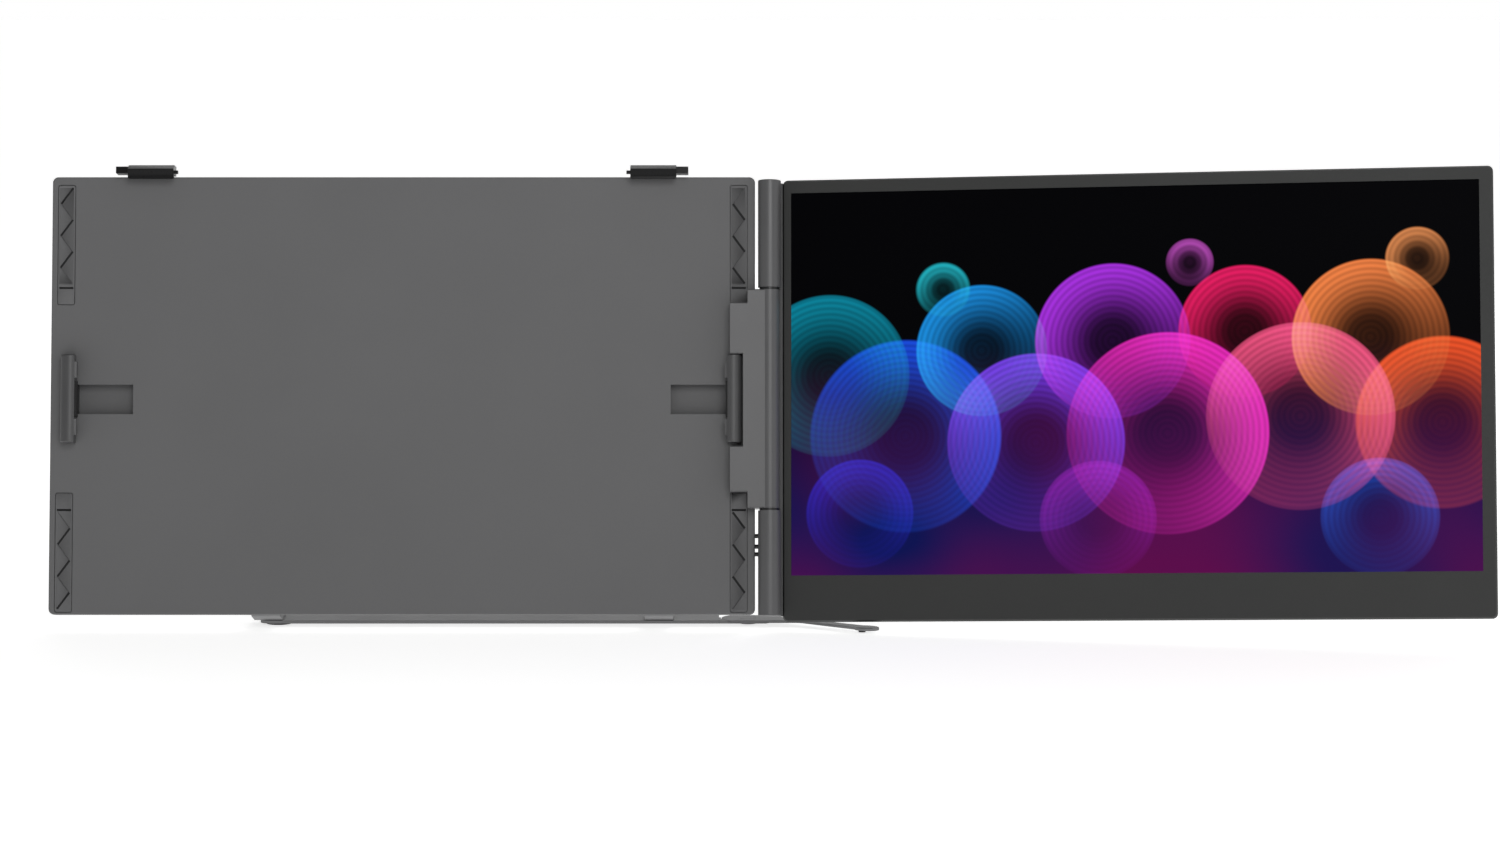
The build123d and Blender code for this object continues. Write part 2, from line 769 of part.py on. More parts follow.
with BuildPart() as pinion:
    pinion_plane = bracket_at(gear_front)
    flank_radii = [root_radius, base_radius] + [base_radius + (tip_radius - base_radius) * step / 4
                                                for step in (1, 2, 3, 4)]
    outline = []
    for tooth in range(pinion_teeth):
        center_angle = 2 * pi * tooth / pinion_teeth
        for side, radii in ((-1, flank_radii), (1, reversed(flank_radii))):
            for radius in radii:
                angle = center_angle + side * tooth_half_angle(radius)
                outline.append((-clamp_offset + radius * cos(angle),
                                jaw_center_height + radius * sin(angle)))
    with BuildSketch(pinion_plane):
        with BuildLine():
            Polyline(*outline, close=True)
        make_face()
        with Locations((-clamp_offset, jaw_center_height)):
            Circle(post_radius + running_gap, mode=Mode.SUBTRACT)
    extrude(amount=-rack_thickness)

pinion.part.label = "pinion"
export_step(pinion.part, "parts/pinion.step")

with BuildPart() as pinion_post:
    with BuildSketch(bracket_at(inner_front)):
        with Locations((-clamp_offset, jaw_center_height)):
            Circle(post_collar)
    extrude(amount=-(gear_depth - seat_gap))
    with BuildSketch(bracket_at(inner_front)):
        with Locations((-clamp_offset, jaw_center_height)):
            Circle(post_radius)
    extrude(amount=-(inner_back - inner_front))

pinion_post.part.label = "pinion_post"
export_step(pinion_post.part, "parts/pinion_post.step")

with BuildPart() as pinion_spring:
    with BuildSketch(bracket_at(gear_back + slide_gap)):
        with Locations((-clamp_offset, jaw_center_height)):
            Circle(spring_radius)
            Circle(post_radius + running_gap, mode=Mode.SUBTRACT)
    extrude(amount=-(inner_back - gear_back - 2 * slide_gap))

pinion_spring.part.label = "pinion_spring"
export_step(pinion_spring.part, "parts/pinion_spring.step")


# Right rack: it runs under the pinion, and its foot is screwed to the jaw's neck
rack_pitch_line = jaw_center_height - pitch_radius
rack_root_line = rack_pitch_line - root_share * tooth_size
rack_bottom = rack_root_line - rack_bar
rack_end = -clamp_offset - jaw_out - 4 * tooth_size
rack_foot_top = jaw_center_height + rack_foot_reach
tooth_slope = tan(radians(pressure_angle))
first_tooth = -1.5
tooth_total = int((jaw_in + jaw_out) / pitch_length) + spare_teeth

with BuildPart() as rack_right:
    with BuildSketch(bracket_at(gear_front)):
        with Locations(((rack_end + jaw_mid) / 2, (rack_root_line + rack_bottom) / 2)):
            Rectangle(jaw_mid - rack_end, rack_bar)
        with Locations((jaw_mid, (rack_foot_top + rack_bottom) / 2)):
            Rectangle(foot_width, rack_foot_top - rack_bottom)
        for index in range(tooth_total):
            tooth_x = -clamp_offset + (first_tooth + index) * pitch_length
            root_half = half_tooth + root_share * tooth_size * tooth_slope
            tip_half = half_tooth - rack_addendum * tooth_slope
            with BuildLine():
                Polyline((tooth_x - root_half, rack_root_line), (tooth_x + root_half, rack_root_line),
                         (tooth_x + tip_half, rack_pitch_line + rack_addendum),
                         (tooth_x - tip_half, rack_pitch_line + rack_addendum), close=True)
            make_face()
    extrude(amount=-rack_thickness)
    with BuildSketch(bracket_at(gear_back)):
        with Locations((jaw_mid, jaw_center_height - jaw_screw_pitch / 2),
                       (jaw_mid, jaw_center_height + jaw_screw_pitch / 2)):
            Circle(jaw_screw_radius + seat_gap)
    extrude(amount=rack_thickness, mode=Mode.SUBTRACT)
    with BuildSketch(bracket_at(gear_back)):
        with Locations((jaw_mid, jaw_center_height - jaw_screw_pitch / 2),
                       (jaw_mid, jaw_center_height + jaw_screw_pitch / 2)):
            Circle(jaw_screw_head + seat_gap)
    extrude(amount=rack_thickness / 2, mode=Mode.SUBTRACT)

rack_right.part.label = "rack_right"
export_step(rack_right.part, "parts/rack_right.step")

# The left rack is the right one turned half round the pinion, so it runs above it
pinion_axis = Axis(axis_foot - along * clamp_offset + up * jaw_center_height, out)

with BuildPart() as rack_left:
    add(rack_right.part.rotate(pinion_axis, 180))

rack_left.part.label = "rack_left"
export_step(rack_left.part, "parts/rack_left.step")

with BuildPart() as jaw_screws_right:
    with BuildSketch(bracket_at(gear_back - rack_thickness / 2)):
        with Locations((jaw_mid, jaw_center_height - jaw_screw_pitch / 2),
                       (jaw_mid, jaw_center_height + jaw_screw_pitch / 2)):
            Circle(jaw_screw_head)
    extrude(amount=-rack_thickness / 2)
    with BuildSketch(bracket_at(gear_back - rack_thickness / 2)):
        with Locations((jaw_mid, jaw_center_height - jaw_screw_pitch / 2),
                       (jaw_mid, jaw_center_height + jaw_screw_pitch / 2)):
            Circle(jaw_screw_radius - running_gap)
    extrude(amount=rack_thickness / 2 + gear_front - jaw_seat)

jaw_screws_right.part.label = "jaw_screws_right"
export_step(jaw_screws_right.part, "parts/jaw_screws_right.step")

with BuildPart() as jaw_screws_left:
    mirror(jaw_screws_right.part, about=clamp_mirror)

jaw_screws_left.part.label = "jaw_screws_left"
export_step(jaw_screws_left.part, "parts/jaw_screws_left.step")


# Guide blocks above and below each rack's plain bar
with BuildPart() as rack_guides:
    guide_reach = (jaw_opening / 2 - jaw_in) * guide_share
    guide_out = jaw_opening / 2 - jaw_in - foot_width
    bar_mid = jaw_center_height - (rack_root_line + rack_bottom) / 2
    guide_step = rack_bar / 2 + slide_gap + guide_thickness / 2
    guide_places = [(-clamp_offset + side * reach, jaw_center_height - side * (bar_mid + step))
                    for side in (-1, 1)
                    for reach in (guide_reach, guide_out)
                    for step in (-guide_step, guide_step)]
    with BuildSketch(bracket_at(inner_front)):
        with Locations(*guide_places):
            Rectangle(guide_width, guide_thickness)
    extrude(amount=-(gear_back - inner_front))

rack_guides.part.label = "rack_guides"
export_step(rack_guides.part, "parts/rack_guides.step")


# Right hook: a stem inside the bracket, a roof over the panel's edge and a lip in front of it
roof_top = bracket_top + hook_rise
roof_under = roof_top - roof_thickness
hook_lip_back = face_depth - lid_slot
hook_front = hook_lip_back - hook_lip
brow_front = hook_front - brow_set_back
brow_top = roof_top - roof_drop
stem_bottom = roof_top - hook_stem_length
lip_bottom = roof_under - hook_lip_length

with BuildPart() as hook_right:
    with BuildSketch(bracket_side_at(hook_mid + hook_width / 2)):
        with BuildLine():
            Polyline((stem_back, roof_under), (stem_back, roof_top), (brow_front + roof_flat, roof_top),
                     (brow_front, brow_top), (brow_front, brow_top - brow_height), (hook_front, roof_under),
                     (hook_front, lip_bottom), (hook_lip_back, lip_bottom), (hook_lip_back, roof_under),
                     close=True)
        make_face()
    extrude(amount=-hook_width)
    with BuildSketch(bracket_at(stem_front)):
        with Locations((hook_mid, (stem_bottom + roof_top - roof_drop) / 2)):
            Rectangle(hook_stem_width, roof_top - roof_drop - stem_bottom)
    extrude(amount=-hook_stem_thickness)
    # The short tail at the outer end and the bump at the inner one
    with BuildSketch(bracket_side_at(hook_mid + hook_width / 2 + tail_length)):
        with Locations(((stem_front + hook_lip_back - tail_lap) / 2, roof_top - tail_drop)):
            Rectangle(stem_front - hook_lip_back + tail_lap, tail_height)
    extrude(amount=-tail_length)
    with BuildSketch(bracket_side_at(hook_mid - hook_width / 2)):
        with Locations((hook_lip_back / 2, roof_top - bump_drop)):
            Rectangle(-hook_lip_back + hook_lip, bump_height)
    extrude(amount=-bump_length)
    lip_corners = hook_right.edges().filter_by(Axis(axis_foot, out))
    lip_corners = lip_corners.filter_by_position(Axis(axis_foot, up), lip_bottom - 0.01, lip_bottom + 0.01)
    fillet(lip_corners, hook_lip_corner)

hook_right.part.label = "hook_right"
export_step(hook_right.part, "parts/hook_right.step")

with BuildPart() as hook_left:
    mirror(hook_right.part, about=clamp_mirror)

hook_left.part.label = "hook_left"
export_step(hook_left.part, "parts/hook_left.step")

with BuildPart() as hook_pad_right:
    with BuildSketch(section_at(roof_under - hook_pad_thickness)):
        with Locations((hook_mid, (face_depth + hook_lip_back) / 2)):
            Rectangle(hook_stem_width, lid_slot - slide_gap)
    extrude(amount=hook_pad_thickness)

hook_pad_right.part.label = "hook_pad_right"
export_step(hook_pad_right.part, "parts/hook_pad_right.step")

with BuildPart() as hook_pad_left:
    mirror(hook_pad_right.part, about=clamp_mirror)

hook_pad_left.part.label = "hook_pad_left"
export_step(hook_pad_left.part, "parts/hook_pad_left.step")

# Channels that the hooks' stems slide in
with BuildPart() as hook_guides:
    channel_low = stem_bottom + hook_travel_up + channel_margin
    channel_back = stem_back + slide_gap
    for mid in (hook_mid, -2 * clamp_offset - hook_mid):
        with BuildSketch(section_at(channel_low)):
            with Locations((mid, (inner_front + channel_back + channel_wall) / 2)):
                Rectangle(hook_stem_width + 2 * slide_gap + 2 * channel_flange,
                          channel_back + channel_wall - inner_front)
            with Locations((mid, (inner_front + channel_back) / 2)):
                Rectangle(hook_stem_width + 2 * slide_gap, channel_back - inner_front, mode=Mode.SUBTRACT)
        extrude(amount=channel_length)

hook_guides.part.label = "hook_guides"
export_step(hook_guides.part, "parts/hook_guides.step")


# Hinge of the folding base: cheeks in the bracket's bottom edge, and their pins
with BuildPart() as base_hinge_blocks:
    for mid in fold_mids:
        for side in (-1, 1):
            cheek_mid = mid + side * (fold_arm_width / 2 + fold_side_gap + cheek_width / 2)
            with BuildSketch(bracket_side_at(cheek_mid + cheek_width / 2)):
                with Locations(((inner_front + bracket_back) / 2, bracket_bottom + cheek_height / 2)):
                    Rectangle(bracket_back - inner_front, cheek_height)
                with Locations((fold_depth, fold_up)):
                    Circle(fold_pin_radius + running_gap, mode=Mode.SUBTRACT)
            extrude(amount=-cheek_width)
        with BuildSketch(bracket_at(inner_front)):
            with Locations((mid, bracket_bottom + notch_height / 2)):
                Rectangle(fold_arm_width + 2 * fold_side_gap + 2 * cheek_width, notch_height)
        extrude(amount=-backing_thickness)

base_hinge_blocks.part.label = "base_hinge_blocks"
export_step(base_hinge_blocks.part, "parts/base_hinge_blocks.step")

with BuildPart() as base_hinge_pins:
    pin_length = fold_arm_width + 2 * fold_side_gap + 2 * cheek_width
    for mid in fold_mids:
        with BuildSketch(bracket_side_at(mid + pin_length / 2)):
            with Locations((fold_depth, fold_up)):
                Circle(fold_pin_radius)
        extrude(amount=-pin_length)

base_hinge_pins.part.label = "base_hinge_pins"
export_step(base_hinge_pins.part, "parts/base_hinge_pins.step")


# Base: a steel plate with a bar at its right front corner that ends in the leg's half-lap ear
plate_left = -plate_start - plate_length
plate_mid_x = -plate_start - plate_length / 2
plate_mid_y = (plate_reach - bar_front) / 2
web_start = lap_radius + lap_clearance + web_clearance

with BuildPart() as base_plate:
    with BuildSketch(Plane.XY.offset(plate_bottom)):
        with Locations((plate_mid_x, plate_mid_y)):
            RectangleRounded(plate_length, plate_reach + bar_front, plate_corner)
        with Locations((-plate_start / 2 - plate_corner / 2, (bar_back - bar_front) / 2)):
            Rectangle(plate_start + plate_corner, bar_front + bar_back)
        with Locations((-(plate_start + plate_corner + web_start) / 2, web_back / 2)):
            Rectangle(plate_start + plate_corner - web_start, web_back)
        Circle(lap_radius)
        with Locations((0, -bar_front - lap_radius / 2)):
            Rectangle(4 * lap_radius, lap_radius, mode=Mode.SUBTRACT)
    extrude(amount=plate_thickness)
    with BuildSketch(Plane.XY.offset(lap_mid - lap_gap / 2)):
        Circle(lap_radius + lap_clearance)
    extrude(amount=plate_thickness, mode=Mode.SUBTRACT)
    with BuildSketch(Plane.XY.offset(plate_bottom)):
        Circle(leg_rivet_radius + running_gap)
    extrude(amount=plate_thickness, mode=Mode.SUBTRACT)
    rivet_places = [(axis_right_of_pivot + mid + side * rivet_pitch / 2, rivet_back)
                    for mid in fold_mids for side in (-1, 1)]
    with BuildSketch(Plane.XY.offset(plate_bottom)):
        with Locations(*rivet_places):
            Circle(rivet_radius + running_gap)
    extrude(amount=plate_thickness, mode=Mode.SUBTRACT)

base_plate.part.label = "base_plate"
export_step(base_plate.part, "parts/base_plate.step")

# Arms that reach from the plate up to the folding pins
fold_point = axis_foot + up * fold_up - out * fold_depth

with BuildPart() as base_hinge_arms:
    for mid in fold_mids:
        arm_right = axis_right_of_pivot + mid + fold_arm_width / 2
        arm_plane = Plane(origin=(arm_right, 0, 0), x_dir=(0, 1, 0), z_dir=(1, 0, 0))
        with BuildSketch(arm_plane):
            with BuildLine():
                Polyline((fold_point.Y - fold_web_reach, fold_point.Z - fold_web),
                         (-flange_front, plate_top), (flange_back, plate_top),
                         (flange_back, plate_top + flange_thickness),
                         (flange_heel - flange_front, plate_top + flange_thickness),
                         (fold_point.Y + fold_web_reach, fold_point.Z + fold_web), close=True)
            make_face()
            with Locations((fold_point.Y, fold_point.Z)):
                Circle(fold_eye)
            with Locations((fold_point.Y, fold_point.Z)):
                Circle(fold_pin_radius + running_gap, mode=Mode.SUBTRACT)
        extrude(amount=-fold_arm_width)
    with BuildSketch(Plane.XY.offset(plate_top)):
        with Locations(*rivet_places):
            Circle(rivet_radius + running_gap)
    extrude(amount=flange_thickness, mode=Mode.SUBTRACT)

base_hinge_arms.part.label = "base_hinge_arms"
export_step(base_hinge_arms.part, "parts/base_hinge_arms.step")

with BuildPart() as base_rivets:
    with BuildSketch(Plane.XY.offset(plate_bottom)):
        with Locations(*rivet_places):
            Circle(rivet_radius)
    extrude(amount=plate_thickness + flange_thickness)
    with BuildSketch(Plane.XY.offset(plate_top + flange_thickness)):
        with Locations(*rivet_places):
            Circle(rivet_head)
    extrude(amount=rivet_head_height)

base_rivets.part.label = "base_rivets"
export_step(base_rivets.part, "parts/base_rivets.step")

with BuildPart() as base_feet:
    with BuildSketch(Plane.XY):
        with Locations((plate_left + foot_inset, -bar_front + foot_inset),
                       (plate_left + foot_inset, plate_reach - foot_inset),
                       (-plate_start - foot_inset, plate_reach - foot_inset)):
            Circle(foot_radius)
    extrude(amount=foot_height)

base_feet.part.label = "base_feet"
export_step(base_feet.part, "parts/base_feet.step")

with BuildPart() as pivot_foot:
    with BuildSketch(Plane.XY):
        Circle(pivot_foot_radius)
    extrude(amount=foot_height)

pivot_foot.part.label = "pivot_foot"
export_step(pivot_foot.part, "parts/pivot_foot.step")

with BuildPart() as leg_rivet:
    with BuildSketch(Plane.XY.offset(plate_bottom)):
        Circle(leg_rivet_radius)
    extrude(amount=plate_thickness)
    with BuildSketch(Plane.XY.offset(plate_top - leg_rivet_head_height)):
        Circle(leg_rivet_head)
    extrude(amount=leg_rivet_head_height)

leg_rivet.part.label = "leg_rivet"
export_step(leg_rivet.part, "parts/leg_rivet.step")


# Swing leg: it laps over the plate's ear and bends forward to its oval tip
leg_angle = -radians(leg_turn)
leg_under = plate_top - leg_thickness

with BuildPart() as swing_leg:
    tip_along = Vector(cos(leg_angle), sin(leg_angle))
    tip_across = Vector(-sin(leg_angle), cos(leg_angle))
    tip = Vector(leg_tip_x, -leg_tip_y)
    tip_back = tip + tip_across * leg_bar_half
    tip_front = tip - tip_across * leg_bar_half
    with BuildSketch(Plane.XY.offset(plate_bottom)):
        with BuildLine():
            Polyline((-lap_radius, -leg_half_width), (leg_front_straight, -leg_half_width),
                     (tip_front.X, tip_front.Y), (tip_back.X, tip_back.Y),
                     (leg_shoulder_x, leg_shoulder_y), (leg_back_straight, leg_half_width),
                     (-lap_radius, leg_half_width), close=True)
        make_face()
    extrude(amount=plate_thickness)
    bend_edges = swing_leg.edges().filter_by(Axis.Z).filter_by_position(Axis.X, 1, leg_front_straight + 1)
    fillet(bend_edges, leg_blend)
    with BuildSketch(Plane.XY.offset(plate_bottom)):
        with Locations(Location((leg_tip_x, -leg_tip_y, 0), (0, 0, leg_angle * 180 / pi))):
            Ellipse(leg_tip_long, leg_tip_wide)
    extrude(amount=plate_thickness)
    # The leg is thinner than the plate, and flush with its top
    with BuildSketch(Plane.XY.offset(plate_bottom)):
        with Locations((leg_tip_x / 2, 0)):
            Rectangle(2 * leg_tip_x, 4 * leg_tip_y)
    extrude(amount=leg_under - plate_bottom, mode=Mode.SUBTRACT)
    # The ear: everything within the lap circle is half as thick, and ends in the lap radius
    with BuildSketch(Plane.XY.offset(plate_bottom)):
        Circle(lap_radius + lap_clearance)
    extrude(amount=plate_thickness / 2 + lap_gap / 2, mode=Mode.SUBTRACT)
    with BuildSketch(Plane.XY.offset(plate_bottom)):
        with Locations((-1.5 * lap_radius, 0)):
            Rectangle(3 * lap_radius, 3 * lap_radius)
        Circle(lap_radius, mode=Mode.SUBTRACT)
    extrude(amount=plate_thickness, mode=Mode.SUBTRACT)
    with BuildSketch(Plane.XY.offset(plate_bottom)):
        Circle(leg_rivet_radius + running_gap)
    extrude(amount=plate_thickness, mode=Mode.SUBTRACT)
    with BuildSketch(Plane.XY.offset(plate_top - leg_rivet_head_height - running_gap)):
        Circle(leg_rivet_head + seat_gap)
    extrude(amount=plate_thickness, mode=Mode.SUBTRACT)

swing_leg.part.label = "swing_leg"
export_step(swing_leg.part, "parts/swing_leg.step")

with BuildPart() as leg_foot:
    with BuildSketch(Plane.XY):
        with Locations((leg_foot_x, -leg_foot_y)):
            Circle(leg_foot_radius)
    extrude(amount=leg_under)

leg_foot.part.label = "leg_foot"
export_step(leg_foot.part, "parts/leg_foot.step")


# Monitor: front bezel, a thin frame with a bevelled rim and posts for the rear screws
rear_screw_places = [(monitor_left + reach, monitor_bottom + rear_screw_height)
                     for reach in (rear_screw_inset, monitor_width / 2 - rear_screw_half_pitch,
                                   monitor_width / 2 + rear_screw_half_pitch,
                                   monitor_width - rear_screw_inset)]

with BuildPart() as front_bezel:
    with BuildSketch(monitor_at(face_depth)):
        with Locations((monitor_mid_x, monitor_mid_up)):
            RectangleRounded(monitor_width, monitor_height, monitor_corner)
    extrude(amount=-bezel_skirt)
    rim = front_bezel.faces().sort_by(Axis(axis_foot, monitor_out))[-1].edges()
    chamfer(rim, bevel_depth, bevel_width, reference=front_bezel.faces().sort_by(
        Axis(axis_foot, monitor_out))[-1])
    with BuildSketch(monitor_at(glass_front)):
        with Locations((monitor_mid_x, monitor_mid_up)):
            RectangleRounded(monitor_width - 2 * bezel_wall, monitor_height - 2 * bezel_wall,
                             monitor_corner - bezel_wall)
    extrude(amount=-bezel_skirt, mode=Mode.SUBTRACT)
    with BuildSketch(monitor_at(face_depth)):
        with Locations((picture_mid_x, picture_mid_up)):
            Rectangle(panel_width, panel_height)
    extrude(amount=-bezel_lip, mode=Mode.SUBTRACT)
    with BuildSketch(monitor_at(glass_front)):
        with Locations(*rear_screw_places):
            Circle(rear_post_radius)
    extrude(amount=-(cover_inside - glass_front))
    with BuildSketch(monitor_at(cover_inside)):
        with Locations(*rear_screw_places):
            Circle(rear_screw_radius)
    extrude(amount=cover_inside - glass_front, mode=Mode.SUBTRACT)

front_bezel.part.label = "front_bezel"
export_step(front_bezel.part, "parts/front_bezel.step")

glass_width = panel_width + 2 * panel_margin
glass_height = panel_height + 2 * panel_margin

with BuildPart() as lcd_panel:
    with BuildSketch(monitor_at(glass_front)):
        with Locations((picture_mid_x, picture_mid_up)):
            Rectangle(glass_width, glass_height)
    extrude(amount=-glass_thickness)

lcd_panel.part.label = "lcd_panel"
export_step(lcd_panel.part, "parts/lcd_panel.step")

with BuildPart() as backlight_unit:
    with BuildSketch(monitor_at(light_front)):
        with Locations((picture_mid_x, picture_mid_up)):
            Rectangle(glass_width, glass_height)
    extrude(amount=-light_thickness)

backlight_unit.part.label = "backlight_unit"
export_step(backlight_unit.part, "parts/backlight_unit.step")

with BuildPart() as backlight_tray:
    with BuildSketch(monitor_at(light_front)):
        with Locations((picture_mid_x, picture_mid_up)):
            Rectangle(glass_width + 2 * tray_thickness + 2 * running_gap,
                      glass_height + 2 * tray_thickness + 2 * running_gap)
            Rectangle(glass_width + 2 * running_gap, glass_height + 2 * running_gap,
                      mode=Mode.SUBTRACT)
    extrude(amount=-light_thickness)
    with BuildSketch(monitor_at(tray_back - tray_thickness)):
        with Locations((picture_mid_x, picture_mid_up)):
            Rectangle(glass_width + 2 * tray_thickness + 2 * running_gap,
                      glass_height + 2 * tray_thickness + 2 * running_gap)
    extrude(amount=-tray_thickness)

backlight_tray.part.label = "backlight_tray"
export_step(backlight_tray.part, "parts/backlight_tray.step")


# Rear cover, with the sockets in its right wall and the speakers' slots near its bottom edge
socket_mid_depth = (tray_back + cover_inside) / 2
socket_places = [(first_socket_height, hdmi_width),
                 (first_socket_height + socket_pitch, usb_width),
                 (first_socket_height + 2 * socket_pitch, usb_width)]
right_wall_plane = Plane(origin=axis_foot + monitor_along * monitor_right, x_dir=up, z_dir=monitor_along)
monitor_side_plane = Plane(origin=axis_foot + monitor_along * monitor_left, x_dir=-monitor_out,
                           z_dir=monitor_along)
speaker_mids = [monitor_left + speaker_left_inset, monitor_right - speaker_right_inset]
speaker_mid_up = monitor_bottom + cover_bottom_wall + slide_gap + speaker_height / 2
vent_places = [(mid + (index - (vent_count - 1) / 2) * vent_pitch, speaker_mid_up)
               for mid in speaker_mids for index in range(vent_count)]

with BuildPart() as rear_cover:
    with BuildSketch(monitor_at(parting_depth)):
        with Locations((monitor_mid_x, monitor_mid_up)):
            RectangleRounded(monitor_width, monitor_height, monitor_corner)
    extrude(amount=-(monitor_back - parting_depth))
    fillet(rear_cover.faces().sort_by(Axis(axis_foot, monitor_out))[0].edges(), cover_edge)
    with BuildSketch(monitor_side_plane):
        with BuildLine():
            Polyline((monitor_back, monitor_bottom), (monitor_back, monitor_bottom + cover_bottom_chamfer),
                     (monitor_back - cover_bottom_chamfer, monitor_bottom), close=True)
        make_face()
    extrude(amount=monitor_width, mode=Mode.SUBTRACT)
    cavity_height = monitor_height - cover_wall - cover_bottom_wall
    cavity_mid_up = monitor_bottom + cover_bottom_wall + cavity_height / 2
    with BuildSketch(monitor_at(parting_depth)):
        with Locations((monitor_mid_x, cavity_mid_up)):
            RectangleRounded(monitor_width - 2 * cover_wall, cavity_height, monitor_corner - cover_wall)
    extrude(amount=-(cover_inside - parting_depth), mode=Mode.SUBTRACT)
    for height, width in socket_places:
        with BuildSketch(right_wall_plane):
            with Locations((height, -socket_mid_depth)):
                SlotOverall(width + 2 * socket_clearance, usb_height)
        extrude(amount=-cover_wall, mode=Mode.SUBTRACT)
    with BuildSketch(monitor_at(monitor_back)):
        with Locations(*vent_places):
            SlotOverall(vent_length, vent_width, rotation=90)
    extrude(amount=cover_wall, mode=Mode.SUBTRACT)
    with BuildSketch(monitor_at(monitor_back)):
        with Locations(*rear_screw_places):
            Circle(rear_screw_radius + running_gap)
    extrude(amount=cover_wall, mode=Mode.SUBTRACT)
    with BuildSketch(monitor_at(monitor_back)):
        with Locations(*rear_screw_places):
            Circle(rear_screw_head + seat_gap)
    extrude(amount=cover_wall / 2, mode=Mode.SUBTRACT)

rear_cover.part.label = "rear_cover"
export_step(rear_cover.part, "parts/rear_cover.step")

with BuildPart() as rear_screws:
    with BuildSketch(monitor_at(monitor_back - cover_wall / 2)):
        with Locations(*rear_screw_places):
            Circle(rear_screw_head)
    extrude(amount=-cover_wall / 2)
    with BuildSketch(monitor_at(monitor_back - cover_wall / 2)):
        with Locations(*rear_screw_places):
            Circle(rear_screw_radius - running_gap)
    extrude(amount=cover_wall / 2 + rear_screw_bite)

rear_screws.part.label = "rear_screws"
export_step(rear_screws.part, "parts/rear_screws.step")


def spine_blank(bottom, length):
    # Barrel and the web that joins it to the monitor's left wall
    with BuildPart() as blank:
        with BuildSketch(monitor_section_at(bottom)):
            with Locations(((monitor_left - spine_reach) / 2, spine_depth / 2)):
                Rectangle(monitor_left + spine_reach, spine_depth)
        extrude(amount=length)
        corner = blank.edges().filter_by(Axis(axis_foot, up)).sort_by(Axis(axis_foot, monitor_along))[:2]
        fillet(corner.sort_by(Axis(axis_foot, monitor_out))[0], spine_corner)
        with BuildSketch(monitor_section_at(bottom)):
            with Locations((monitor_left / 2 + spine_reach, face_depth / 2)):
                Rectangle(monitor_left + 4 * spine_reach, face_depth)
        extrude(amount=length, mode=Mode.SUBTRACT)
        with BuildSketch(monitor_section_at(bottom)):
            Circle(barrel_radius)
        extrude(amount=length)
    return blank.part


bush_radius = shaft_radius + bush_wall
barrel_bore = barrel_radius - barrel_wall
button_inner = sqrt(barrel_bore ** 2 - button_flange ** 2) - slide_gap
button_back = button_inner - button_flange_thickness
switch_front = button_back - button_travel - switch_gap
board_face = switch_front - switch_height
board_rear = board_face - button_board_thickness
board_span = button_heights["power"] - button_heights["minus"] + switch_size + 2 * rib_thickness
board_mid_up = (button_heights["power"] + button_heights["minus"]) / 2

with BuildPart() as spine_upper:
    add(spine_blank(upper_barrel_bottom, upper_barrel - cap_thickness))
    with BuildSketch(monitor_section_at(upper_barrel_bottom)):
        Circle(bush_radius + running_gap)
    extrude(amount=bush_length, mode=Mode.SUBTRACT)
    with BuildSketch(monitor_section_at(upper_bush_top)):
        Circle(barrel_bore)
    extrude(amount=barrel_top - upper_bush_top, mode=Mode.SUBTRACT)

spine_upper.part.label = "spine_upper"
export_step(spine_upper.part, "parts/spine_upper.step")

with BuildPart() as spine_lower:
    add(spine_blank(barrel_bottom, lower_barrel))
    with BuildSketch(monitor_section_at(barrel_bottom)):
        Circle(barrel_radius + running_gap)
    extrude(amount=cap_thickness, mode=Mode.SUBTRACT)
    with BuildSketch(monitor_section_at(bush_bottom)):
        Circle(bush_radius + running_gap)
    extrude(amount=bush_length, mode=Mode.SUBTRACT)
    with BuildSketch(monitor_section_at(barrel_bottom)):
        Circle(barrel_bore)
    extrude(amount=bush_bottom - slide_gap - barrel_bottom, mode=Mode.SUBTRACT)
    for height in button_heights.values():
        hole_plane = Plane(origin=axis_foot + up * height, x_dir=up, z_dir=-monitor_along)
        with BuildSketch(hole_plane):
            Circle(button_radius + button_clearance)
        extrude(amount=barrel_radius + button_hole_overrun, mode=Mode.SUBTRACT)
    # Two ribs that the button board is glued to
    for rib_bottom in (board_mid_up - board_span / 2, board_mid_up + board_span / 2 - rib_thickness):
        with BuildSketch(monitor_section_at(rib_bottom)):
            Circle(barrel_bore + seat_gap)
            with Locations((-board_rear - barrel_radius, 0)):
                Rectangle(2 * barrel_radius, 2 * barrel_radius, mode=Mode.SUBTRACT)
        extrude(amount=rib_thickness)

spine_lower.part.label = "spine_lower"
export_step(spine_lower.part, "parts/spine_lower.step")

# Web behind the centre knuckle, which closes the view between it and the monitor's wall
with BuildPart() as knuckle_cover:
    with BuildSketch(monitor_section_at(lower_barrel_top)):
        with Locations(((cover_shift + monitor_left) / 2, (face_depth + spine_depth) / 2)):
            Rectangle(monitor_left - cover_shift, spine_depth - face_depth)
        Circle(knuckle_radius + knuckle_gap, mode=Mode.SUBTRACT)
    extrude(amount=upper_barrel_bottom - lower_barrel_top)

knuckle_cover.part.label = "knuckle_cover"
export_step(knuckle_cover.part, "parts/knuckle_cover.step")

